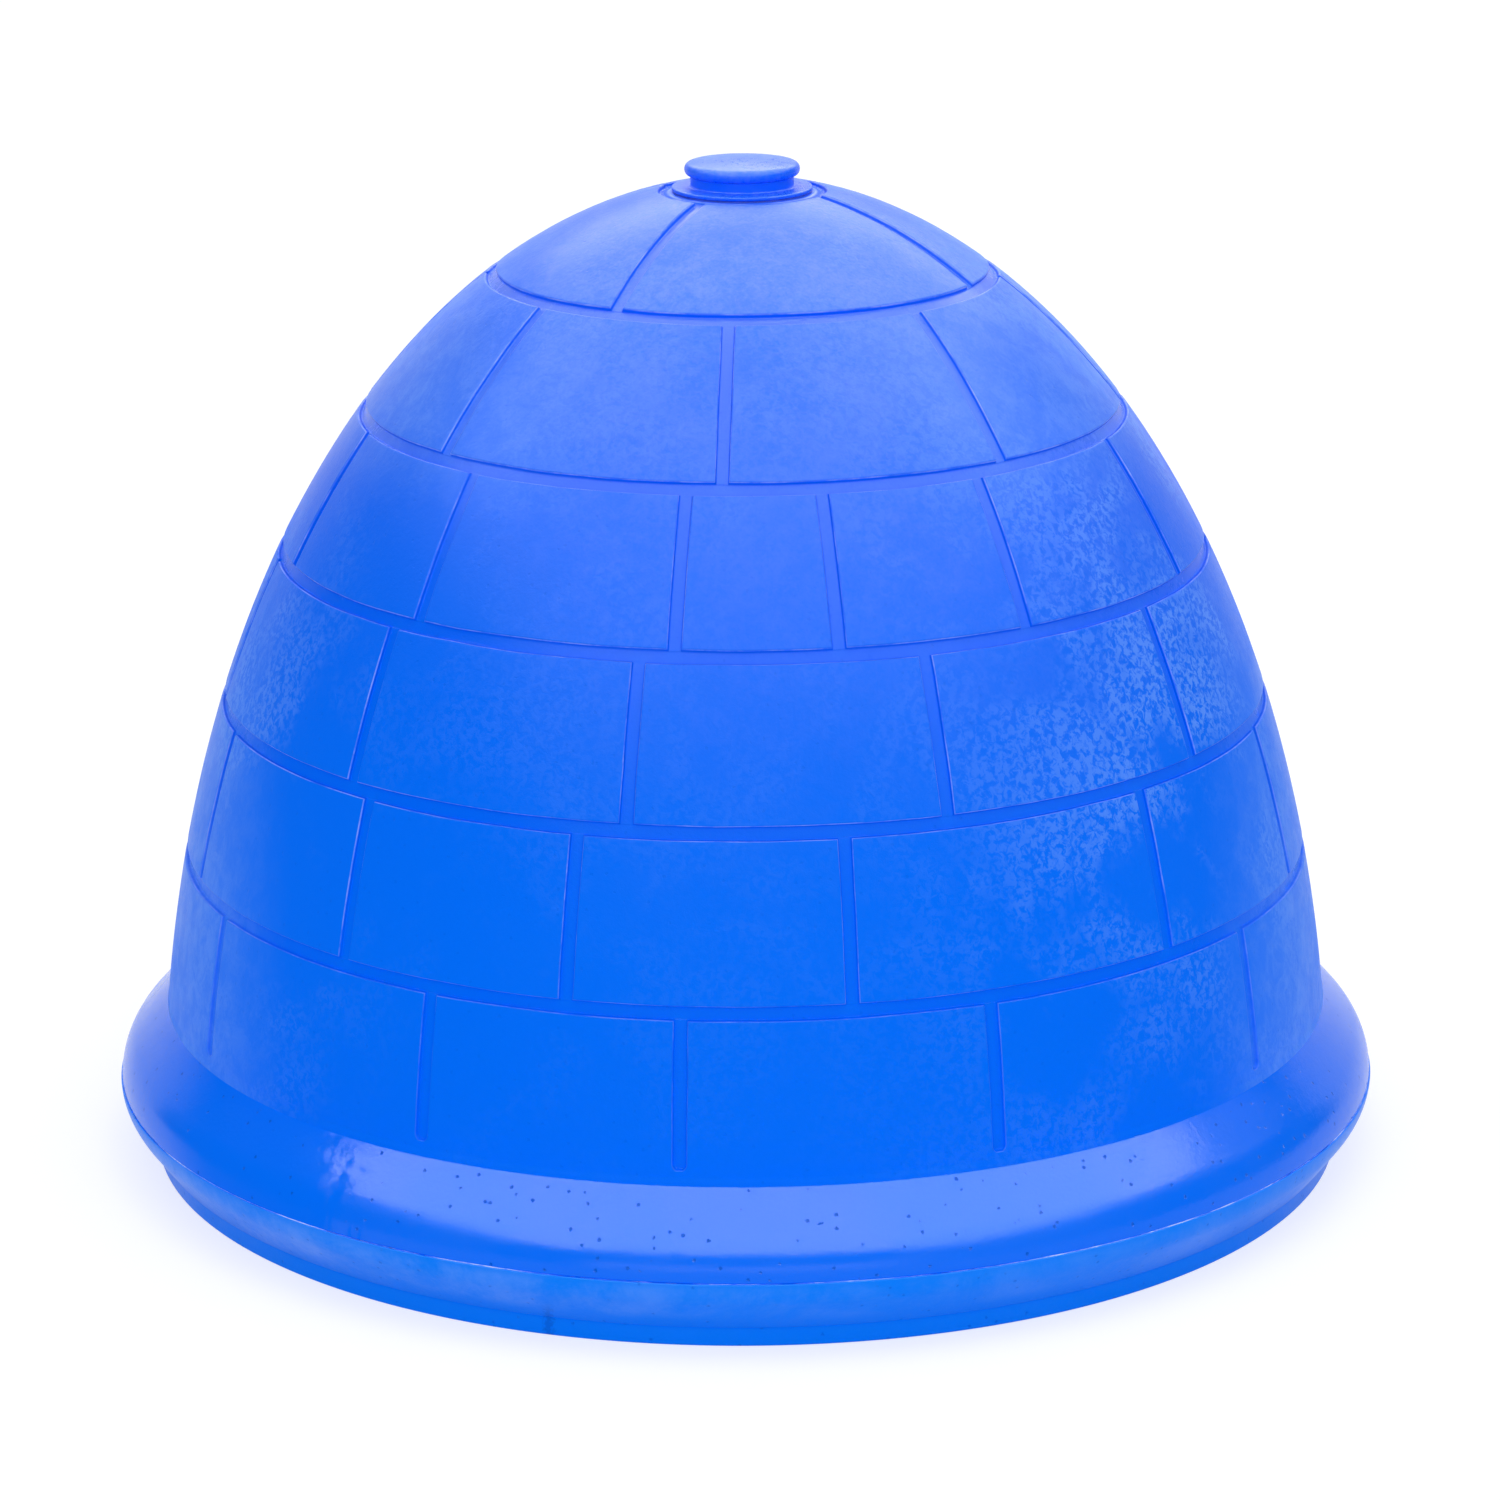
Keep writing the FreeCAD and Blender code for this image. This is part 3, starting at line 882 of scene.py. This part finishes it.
def make_flash_tree():
    tree, given = geometry_tree("trimmed flash", Radius=FLASH_RADIUS, Height=SEAM, Thickness=0.8 * MM,
                                Raggedness=2.0 * MM, Detail=60.0, Breaks=14.0, Seed=3.0)
    circle = node(tree, "GeometryNodeCurvePrimitiveCircle", {"Resolution": 720, "Radius": given["Radius"]})
    place = node(tree, "GeometryNodeInputPosition")
    ragged = geometry_noise(place, given["Seed"], given["Detail"], 3.0, 0.6)
    lift = node(tree, "ShaderNodeCombineXYZ", {"Z": swing(ragged, given["Raggedness"], given["Height"])})
    moved = node(tree, "GeometryNodeSetPosition", {"Geometry": circle, "Offset": lift})
    thinning = geometry_noise(place, maths("ADD", given["Seed"], 5.0), given["Breaks"], 4.0)
    swell = ramp(thinning, 0.40, 0.60, 0.2, 1.0)
    section = node(tree, "GeometryNodeCurvePrimitiveCircle", {"Resolution": 6, "Radius": given["Thickness"]})
    bead = node(tree, "GeometryNodeCurveToMesh", {"Curve": moved, "Profile Curve": section, "Scale": swell})
    smooth = node(tree, "GeometryNodeSetShadeSmooth", {"Geometry": bead})
    return close_tree(tree, smooth, given["Plastic"])


flash_plastic = bpy.data.materials.new("flash_plastic")
flash = make_object("flash", bpy.data.meshes.new("flash"))
run_tree(flash, make_flash_tree(), flash_plastic)
face_outwards(flash.data)
print("flash", len(flash.data.polygons), "faces")

# %% [markdown]
# ## Moulded polyethylene
# The plastic is one deep blue all the way through, so its finish is what varies. The skin is cloudy
# where the mould was a little rough, speckled like orange peel where it was blasted, and smoother on
# the joint floors. Light and shade are painted into its colour as well: a pale sheen on the upper
# blocks and to each side, a highlight along every block's edge and on the pan's rim, shade in the
# joint walls, a darker blue near the crown and a lighter blue on the pan. One function builds that
# skin from a few named amounts. The joint attribute that the node tree stored says where the troughs
# are.

# %% Shader helpers
def shader_tree(owner):
    """The emptied node tree of a material or a world, and the object's own coordinates in it."""
    owner.use_nodes = True
    owner.node_tree.nodes.clear()
    place = node(owner.node_tree, "ShaderNodeTexCoord").node.outputs["Object"]
    return owner.node_tree, place


def noise(place, scale, detail=3.0, roughness=0.55, distortion=0.0):
    inputs = {"Vector": place, "Scale": scale, "Detail": detail, "Roughness": roughness,
              "Distortion": distortion}
    return node(place.id_data, "ShaderNodeTexNoise", inputs)


def mix_colour(share, first, second):
    mixed = node(share.id_data, "ShaderNodeMix", data_type="RGBA")
    for value, index in ((share, 0), (first, 6), (second, 7)):
        link(value, mixed.node.inputs[index])
    return mixed


def bump(height, distance, normal=None):
    inputs = {"Height": height, "Distance": distance, "Strength": 1.0}
    if normal is not None:
        inputs["Normal"] = normal
    return node(height.id_data, "ShaderNodeBump", inputs)


def finish_shader(tree, **sockets):
    inputs = {name.replace("_", " "): value for name, value in sockets.items()}
    shader = node(tree, "ShaderNodeBsdfPrincipled", inputs)
    node(tree, "ShaderNodeOutputMaterial", {"Surface": shader})


# %% Masks of the skin
def joint_masks(tree):
    """Block face, joint floor, the arris that takes a painted highlight, and joint wall, each from 0 to 1."""
    joint = node(tree, "ShaderNodeAttribute", attribute_name="joint").node.outputs["Fac"]
    face = ramp(joint, 0.0, 0.12, 1.0, 0.0)
    floor = ramp(joint, 0.75, 0.98)
    return face, floor, band(joint, 0.01, 0.10, 0.22, 0.42), band(joint, 0.30, 0.55, 0.72, 0.95)


def place_masks(across, up):
    """Height, speckled flanks, the sides that take a painted sheen, and the side kept free of it as painted
    shade. Places are in metres.
    """
    high = ramp(up, 0.26, 0.66)
    flanks = maths("MAXIMUM", ramp(across, -0.34, -0.08, 1.0, 0.0), ramp(across, 0.24, 0.43))
    outer = maths("ABSOLUTE", across)
    # Painted sheen on the upper courses to each side and on the outer edges.
    sides = times(ramp(outer, 0.08, 0.26), ramp(up, 0.52, 0.60))
    sides = maths("MAXIMUM", sides, ramp(outer, 0.32, 0.42, 0.0, 1.2))
    # Painted shade: the side where the upper blocks keep their deep blue and get no painted sheen.
    shaded_side = times(ramp(across, 0.08, 0.20), ramp(up, 0.50, 0.60, 1.0, 0.0))
    return high, flanks, sides, shaded_side


def torn_polish(place, across, amount):
    """The skirt's polish stops raggedly on one side, in upright streaks, and starts again further round."""
    inputs = {0: place, 1: (1.0, 1.0, 0.15)}
    flat = node(place.id_data, "ShaderNodeVectorMath", inputs, operation="MULTIPLY")
    reach = swing(noise(flat, 90.0, 4.0, 0.7), 0.14, across)
    dull = times(ramp(reach, 0.272, 0.295), ramp(across, 0.38, 0.45, 1.0, 0.0))
    return scaled(dull, -amount, 1.0)


def rim_highlight_stripe(place, across, up, amount):
    """A pale stripe under the seam, a painted highlight on the pan's rim, broken in places."""
    stripe = times(ramp(up, SEAM - 36 * MM, SEAM - 26 * MM), ramp(up, SEAM - 7 * MM, SEAM, 1.0, 0.35))
    stripe_gaps = ramp(noise(place, 9.0, 7.0, 0.74, 0.3), 0.38, 0.66)
    return times(stripe, stripe_gaps, ramp(across, -0.25, 0.35, 0.5, 1.2), amount)


def foot_scuff(fine, axes):
    """One small dark scuff by the foot, a little to one side of the middle of the back."""
    across, along, up = axes
    aside = swing(fine, 12 * MM, across)
    aside = maths("ABSOLUTE", maths("SUBTRACT", aside, SCUFF_ACROSS))
    near = ramp(aside, 0.5 * MM, 5 * MM, 0.6, 0.0)
    return times(near, ramp(up, 12 * MM, 34 * MM, 0.7, 0.0), ramp(along, 0.1, 0.2))


def pits(place, grain, amount):
    """Small ragged pits where air bubbles met the mould, on most cells of a Voronoi pattern."""
    away = node(place.id_data, "ShaderNodeTexVoronoi", {"Vector": place, "Scale": PIT_SCALE})
    cell = node(place.id_data, "ShaderNodeSeparateColor", {"Color": away.node.outputs["Color"]})
    chosen = ramp(cell, 0.30, 0.34)
    ragged = swing(grain, 0.25, away)
    return times(ramp(ragged, 0.07, 0.16, 1.0, 0.0), chosen, amount)


# Noise scales: how many features of each kind fit in a metre.
CLOUD_SCALE, PATCH_SCALE, MOTTLE_SCALE, ARRIS_PATCH_SCALE = 6.0, 6.5, 45.0, 30.0
PEEL_SCALE, FINE_SCALE, GRAIN_SCALE, PIT_SCALE = 185.0, 380.0, 900.0, 105.0
SCUFF_ACROSS = 0.137
print("skin masks ready")

# %% [markdown]
# ## The skin itself
# The base colour is built up in layers, deepest first: the blue for each height, darker near the
# crown as painted shade, the pale mottle with its painted sheen, the painted sheen to each side, the
# speckle, the painted shade in the joint walls and the painted highlights on the block edges. On the
# pan a painted highlight along the rim and a dark scuff follow. The gloss is kept apart, because it
# is strong near the crown and on the skirt and faint on the lower blocks. Pits and dull places take
# it away again.

# %% Skin of the plastic
DEEP_BLUE = (0.0, 0.148, 0.92, 1)
# Painted shade: a darker blue for the crown.
CROWN_SHADE_BLUE = (0.0, 0.122, 0.88, 1)
PALE_BLUE = (0.085, 0.190, 0.93, 1)
# Pale speckle, and the painted sheen to each side.
SPECKLE_AND_SHEEN_BLUE = (0.12, 0.31, 0.96, 1)
# Painted highlight for the block edges.
EDGE_HIGHLIGHT_BLUE = (0.30, 0.42, 1.0, 1)
WALL_SHADE_BLUE = (0.0, 0.105, 0.78, 1)
# Painted light: a lighter copy of the blue for the pan, in place of the light the floor throws up on it.
PAN_LIT_BLUE = (0.0, 0.205, 0.94, 1)
# Painted highlight for the pan's rim.
RIM_HIGHLIGHT_BLUE = (0.12, 0.32, 0.96, 1)
SCUFF_BLUE = (0.0, 0.06, 0.45, 1)
PIT_BLUE = (0.0, 0.09, 0.62, 1)
SHEEN_TINT = (0.92, 0.94, 1.0, 1)


def moulded_skin(material, cloud_and_sheen=0.5, peel_and_side_sheen=0.5, pinholes=0.0, smooth=0.25, rough=0.38,
                 deep=DEEP_BLUE, gloss=0.09, low_gloss=0.12, torn_end=0.0, rim_highlight_and_scuff=0.0):
    """Builds the blue plastic. cloud, peel, pinholes, torn_end and smudge are amounts from 0 to 1."""
    tree, place = shader_tree(material)
    across = node(tree, "ShaderNodeSeparateXYZ", {"Vector": place})
    along, up = across.node.outputs["Y"], across.node.outputs["Z"]
    face, floor, arris, wall = joint_masks(tree)
    high, flanks, sides, shaded_side = place_masks(across, up)

    mottle = ramp(noise(place, MOTTLE_SCALE, 6.0, 0.74, 0.4), 0.38, 0.68)
    worms = noise(place, PEEL_SCALE, 3.0, 0.66, 0.5)
    clouds = ramp(swing(worms, 0.4, noise(place, CLOUD_SCALE, 5.0, 0.6)), 0.40, 0.64)
    patch = ramp(noise(place, PATCH_SCALE, 4.0, 0.65, 0.4), 0.42, 0.60)
    fine = noise(place, FINE_SCALE, 3.0, 0.6)
    grain = noise(place, GRAIN_SCALE, 2.0, 0.5)

    # The pale mottle of the plastic with a painted sheen in it: paler towards the crown, on the joint floors
    # as well, and left off the shaded side as painted shade.
    face_mottle_and_sheen = swing(fine, 0.9, scaled(mottle, 0.6, times(clouds, 0.6)))
    contrast = ramp(up, 0.62, 0.69, 0.5, 1.1)
    face_mottle_and_sheen = scaled(maths("SUBTRACT", face_mottle_and_sheen, 0.55), contrast, 0.5)
    mottle_and_painted_sheen = scaled(maths("MAXIMUM", face_mottle_and_sheen, 0.0), face, times(floor, 0.85))
    mottle_and_painted_sheen = times(mottle_and_painted_sheen, scaled(high, 0.97, 0.03), cloud_and_sheen, maths("SUBTRACT", 1.0, shaded_side))
    # Painted sheen on the upper courses to each side and at the outer edges, in the speckle's pale blue.
    painted_side_sheen = times(sides, peel_and_side_sheen, scaled(mottle, 0.35, 0.3))
    speckle = times(patch, ramp(worms, 0.42, 0.58), face, scaled(flanks, 0.7, 0.08), peel_and_side_sheen,
                    ramp(up, 0.16, 0.34, 0.3, 1.0))
    # Painted shade in the joint walls, stronger higher up.
    shaded_wall = times(wall, ramp(up, 0.18, 0.42, 0.1, 0.95))
    # Painted highlight along the block edges, broken into patches and stronger higher up.
    edge_highlight = times(arris, ramp(noise(place, ARRIS_PATCH_SCALE, 4.0, 0.7), 0.35, 0.7, 0.1, 0.85),
                 ramp(up, 0.12, 0.36, 0.2, 1.0))

    # Painted shade: the blue darkens towards the crown, against the stronger light that falls there.
    colour = mix_colour(high, deep, CROWN_SHADE_BLUE if deep == DEEP_BLUE else deep)
    layers = [(mottle_and_painted_sheen, PALE_BLUE), (painted_side_sheen, SPECKLE_AND_SHEEN_BLUE), (speckle, SPECKLE_AND_SHEEN_BLUE), (shaded_wall, WALL_SHADE_BLUE),
              (edge_highlight, EDGE_HIGHLIGHT_BLUE)]
    shine = times(ramp(up, 0.34, 0.74, low_gloss, 1.0), gloss, ramp(fine, 0.3, 0.7, 0.85, 1.15),
                  scaled(wall, -0.8, 1.0))
    roughness = scaled(grain, 0.10, ramp(clouds, 0.0, 1.0, smooth, rough, "LINEAR"))
    roughness = scaled(floor, -0.10, roughness)
    height = scaled(times(worms, patch), peel_and_side_sheen, times(mottle, 0.4 * cloud_and_sheen))
    normal = bump(fine, 0.12 * MM, bump(height, 0.35 * MM))
    if torn_end:
        shine = times(shine, torn_polish(place, across, torn_end))
    # A painted highlight along the pan's rim, and a dark scuff by the foot.
    if rim_highlight_and_scuff:
        layers += [(rim_highlight_stripe(place, across, up, rim_highlight_and_scuff), RIM_HIGHLIGHT_BLUE),
                   (foot_scuff(fine, (across, along, up)), SCUFF_BLUE)]
    if pinholes:
        dot = pits(place, grain, pinholes)
        layers.append((dot, PIT_BLUE))
        shine = times(shine, maths("SUBTRACT", 1.0, dot))
        normal = bump(dot, -0.6 * MM, normal)
    for share, over in layers:
        colour = mix_colour(share, colour, over)
    finish_shader(tree, Base_Color=colour, Roughness=roughness, Normal=normal, Specular_IOR_Level=shine,
                  Specular_Tint=SHEEN_TINT)


skirt_plastic = bpy.data.materials.new("skirt_plastic")
neck_shade = bpy.data.materials.new("neck_shade")
moulded_skin(dome_plastic, cloud_and_sheen=0.6, peel_and_side_sheen=0.9, pinholes=0.15)
moulded_skin(skirt_plastic, cloud_and_sheen=0.45, peel_and_side_sheen=0.0, pinholes=0.75, smooth=0.10, rough=0.18, gloss=0.155,
             low_gloss=1.0, torn_end=0.9)
# The pan gets the lighter blue as painted light, and the painted highlight on its rim.
moulded_skin(pan_plastic, cloud_and_sheen=0.35, peel_and_side_sheen=0.2, pinholes=0.35, deep=PAN_LIT_BLUE, low_gloss=0.6, rim_highlight_and_scuff=0.5)
moulded_skin(vent_plastic, cloud_and_sheen=0.5, peel_and_side_sheen=0.15, smooth=0.22, rough=0.32, gloss=0.115)
moulded_skin(neck_shade, cloud_and_sheen=0.1, peel_and_side_sheen=0.0, smooth=0.3, rough=0.4, gloss=0.04)
print("plastic skins ready")

# %% [markdown]
# ## Two skins on one piece
# The skirt below the ledge was polished in the mould, and the neck over its flange sits in the cap's
# shade. So each of these two pieces has its faces shared between two skins at one height.

# %% Split skins
def split_skin(thing, level, above, below):
    """Gives the faces of a piece over a height one skin and the ones under it another."""
    thing.data.materials.clear()
    thing.data.materials.append(above)
    thing.data.materials.append(below)
    for facet in thing.data.polygons:
        facet.material_index = int(facet.center.z < level)


LEDGE_Z = dome_point(angle_at(LEDGE_SLOPE))[1]
split_skin(dome, LEDGE_Z, dome_plastic, skirt_plastic)
split_skin(neck, NECK_HIGH.z - NECK_TALL + 1.6 * MM, neck_shade, vent_plastic)
print("skins split at heights", round(float(LEDGE_Z), 4), round(NECK_HIGH.z - NECK_TALL, 4))

# %% [markdown]
# ## Flash and rubber
# Trimmed flash is the same plastic, whitened where it was cut and bent. The gasket under the vent is
# dark blue rubber: dull, slightly dusty, with a fine grain.

# %% Flash and rubber
CUT_BLUE, WHITENED_BLUE = (0.08, 0.25, 0.95, 1), (0.58, 0.70, 1.0, 1)
RUBBER_BLUE, DUSTY_BLUE = (0.0, 0.045, 0.38, 1), (0.01, 0.09, 0.55, 1)


def dusty_skin(material, spots, colours, roughness, grain, gloss):
    """A skin that changes between two colours in soft spots, over a fine grain.

    spots gives the noise's scale, detail and roughness and the values that it is cut at. grain gives the
    scale of the fine bumps and their height.
    """
    tree, place = shader_tree(material)
    share = ramp(noise(place, *spots[:3]), *spots[3:])
    normal = bump(noise(place, grain[0]), grain[1])
    finish_shader(tree, Base_Color=mix_colour(share, *colours), Roughness=ramp(share, 0, 1, *roughness),
                  Normal=normal, Specular_IOR_Level=gloss)


rubber = bpy.data.materials.new("seal_rubber")
dusty_skin(flash_plastic, (45.0, 4.0, 0.7, 0.42, 0.66), (CUT_BLUE, WHITENED_BLUE), (0.35, 0.6),
           (700.0, 0.2 * MM), 0.2)
dusty_skin(rubber, (60.0, 5.0, 0.65, 0.4, 0.75), (RUBBER_BLUE, DUSTY_BLUE), (0.55, 0.8),
           (1200.0, 0.08 * MM), 0.4)


def dress_node(name, material):
    """Gives a CAD node that stays in view its material."""
    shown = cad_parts[name]
    shown.data.materials.clear()
    shown.data.materials.append(material)


dress_node("vent_gasket", rubber)
dress_node("vent_locknut", vent_plastic)
print("flash and rubber ready")

# %% [markdown]
# ## What moves with what
# Each dressed piece rides on the body of the part it stands for, so it follows the frame's joints: the
# dome lifts off the pan with the neck, gasket and locknut, and the cap lifts out of the neck.

# %% Bodies and stand-ins
for piece, body, stands_for, material_slot in (
    (dome, "dome", "dome_shell", "dome_plastic"),
    (flash, "dome", None, "dome_plastic"),
    (pan, "pan", "floor_pan", "pan_plastic"),
    (neck, "dome", "vent_neck", "vent_plastic"),
    (cap, "cap", "vent_cap", "vent_plastic"),
):
    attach(piece, body)
    if stands_for:
        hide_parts(stands_for)
print("pieces ride on their bodies")

# %% [markdown]
# ## Floor
# A pale floor and white surroundings are the plain studio of a catalogue picture. Both turn plain
# white only for the camera and for reflections, so no extra light falls on the plastic, and the floor
# still darkens under the house.

# %% Floor
def seen_directly(tree):
    """1 for camera, glossy and transmission rays, and 0 for the rays that light the object."""
    path = tree.nodes.new("ShaderNodeLightPath")
    seen = maths("MAXIMUM", path.outputs["Is Camera Ray"], path.outputs["Is Glossy Ray"])
    return maths("MAXIMUM", seen, path.outputs["Is Transmission Ray"])


floor_white = bpy.data.materials.new("floor_white")
floor_tree, floor_place = shader_tree(floor_white)
dust = noise(floor_place, 3.0, 4.0, 0.6)
seen = seen_directly(floor_tree)
lit_colour = mix_colour(dust, (0.88, 0.88, 0.88, 1), (0.92, 0.92, 0.92, 1))
floor_colour = mix_colour(seen, lit_colour, (0.45, 0.45, 0.45, 1))
finish_shader(floor_tree, Base_Color=floor_colour, Roughness=0.9, Emission_Color=(1, 1, 1, 1),
              Emission_Strength=maths("MULTIPLY", seen, 0.66), Specular_IOR_Level=0.0)
FLOOR_REACH = 30.0
floor_corners = [(-FLOOR_REACH, -FLOOR_REACH, 0), (FLOOR_REACH, -FLOOR_REACH, 0),
                 (FLOOR_REACH, FLOOR_REACH, 0), (-FLOOR_REACH, FLOOR_REACH, 0)]
floor_mesh = plain_mesh("floor", floor_corners, [(0, 1, 2, 3)])
floor_mesh.materials.append(floor_white)
floor = make_object("floor", floor_mesh)

# %% [markdown]
# ## World and lights
# The world does most of the lighting, and two soft lights add a little shape. A glossy plastic also
# shows what stands round it. Two ceiling panels draw the pale zones on the upper blocks and the flare,
# and a dark card round the camera's side keeps the lower blocks deep. Panels and card are seen only in
# the gloss.

# %% World and lights
WORLD_LIGHT = 0.86
CARD_STEPS = 48
world = bpy.data.worlds.new("white studio")
bpy.context.scene.world = world
world_tree = shader_tree(world)[0]
strength = ramp(seen_directly(world_tree), 0.0, 1.0, WORLD_LIGHT, 1.0, "LINEAR")
background = node(world_tree, "ShaderNodeBackground", {"Color": (1, 1, 1, 1), "Strength": strength})
node(world_tree, "ShaderNodeOutputWorld", {"Surface": background})


def soft_light(name, place, aim, size, power):
    data = bpy.data.lights.new(name, "AREA")
    data.shape = "RECTANGLE"
    data.size, data.size_y = size
    data.energy = power
    light = make_object(name, data)
    light.location = place
    light.rotation_euler = (Vector(aim) - Vector(place)).to_track_quat("-Z", "Y").to_euler()
    return light


def gloss_panel(name, place, size, radiance):
    """A white panel facing straight down that shows in the plastic's gloss and adds no other light."""
    panel = soft_light(name, place, (place[0], place[1], 0), size, radiance * math.pi * size[0] * size[1])
    panel.visible_diffuse = False
    panel.visible_camera = False
    return panel


soft_light("overhead", (-0.6, 0.5, 2.9), (0, 0, 0.3), (1.8, 1.6), 8)
soft_light("low front", (0, 3.6, 0.35), (0, 0, 0.15), (3.4, 0.5), 16)
gloss_panel("ceiling panel", (-0.25, 1.85, 2.3), (6.4, 4.7), 11.0)
gloss_panel("crown panel", (-0.3, -2.3, 2.7), (4.4, 4.4), 6.0)


def dark_card(name, reach, top, spread):
    """A curved dark card round the camera's side that shows only in the plastic's gloss."""
    turns = [math.pi / 2 + spread * (2 * step / CARD_STEPS - 1) for step in range(CARD_STEPS + 1)]
    points = [(reach * math.cos(t), reach * math.sin(t), z) for t in turns for z in (0, top)]
    faces = [(2 * i, 2 * i + 2, 2 * i + 3, 2 * i + 1) for i in range(CARD_STEPS)]
    shape = plain_mesh(name, points, faces)
    card_black = bpy.data.materials.new("card_black")
    card_tree, place = shader_tree(card_black)
    cloth = ramp(noise(place, 8.0), 0.3, 0.7, 0.95, 1.0)
    finish_shader(card_tree, Base_Color=(0.01, 0.01, 0.012, 1), Roughness=cloth, Specular_IOR_Level=0.0)
    shape.materials.append(card_black)
    card = make_object(name, shape)
    for ray in ("camera", "diffuse", "transmission", "volume_scatter", "shadow"):
        setattr(card, "visible_" + ray, False)


dark_card("dark_card", 5.5, 2.5, math.radians(125))

# %% [markdown]
# ## Camera
# The camera stands behind the house and a little above it, far off with a long lens, as the picture
# was taken. Its distance, height, tilt and roll were fitted to the rims of the block courses.

# %% Camera
CAMERA_AWAY = 3.652
CAMERA_HEIGHT = 1.3666
CAMERA_PITCH = math.radians(16.353)
CAMERA_ROLL = math.radians(-0.24)
CAMERA_LENS = 120.6
CAMERA_SHIFT = 5.5 / 1500
camera_data = bpy.data.cameras.new("camera")
camera_data.lens, camera_data.sensor_width = CAMERA_LENS, 36
camera_data.shift_x = CAMERA_SHIFT
camera = make_object("camera", camera_data)
camera.location = (0, CAMERA_AWAY, CAMERA_HEIGHT)
looking = Vector((0, -math.cos(CAMERA_PITCH), -math.sin(CAMERA_PITCH)))
camera.rotation_euler = (looking.to_track_quat("-Z", "Y").to_matrix()
                         @ Matrix.Rotation(CAMERA_ROLL, 3, "Z")).to_euler()
bpy.context.scene.camera = camera
bpy.context.scene.view_settings.view_transform = "Standard"
print("camera at", tuple(camera.location))
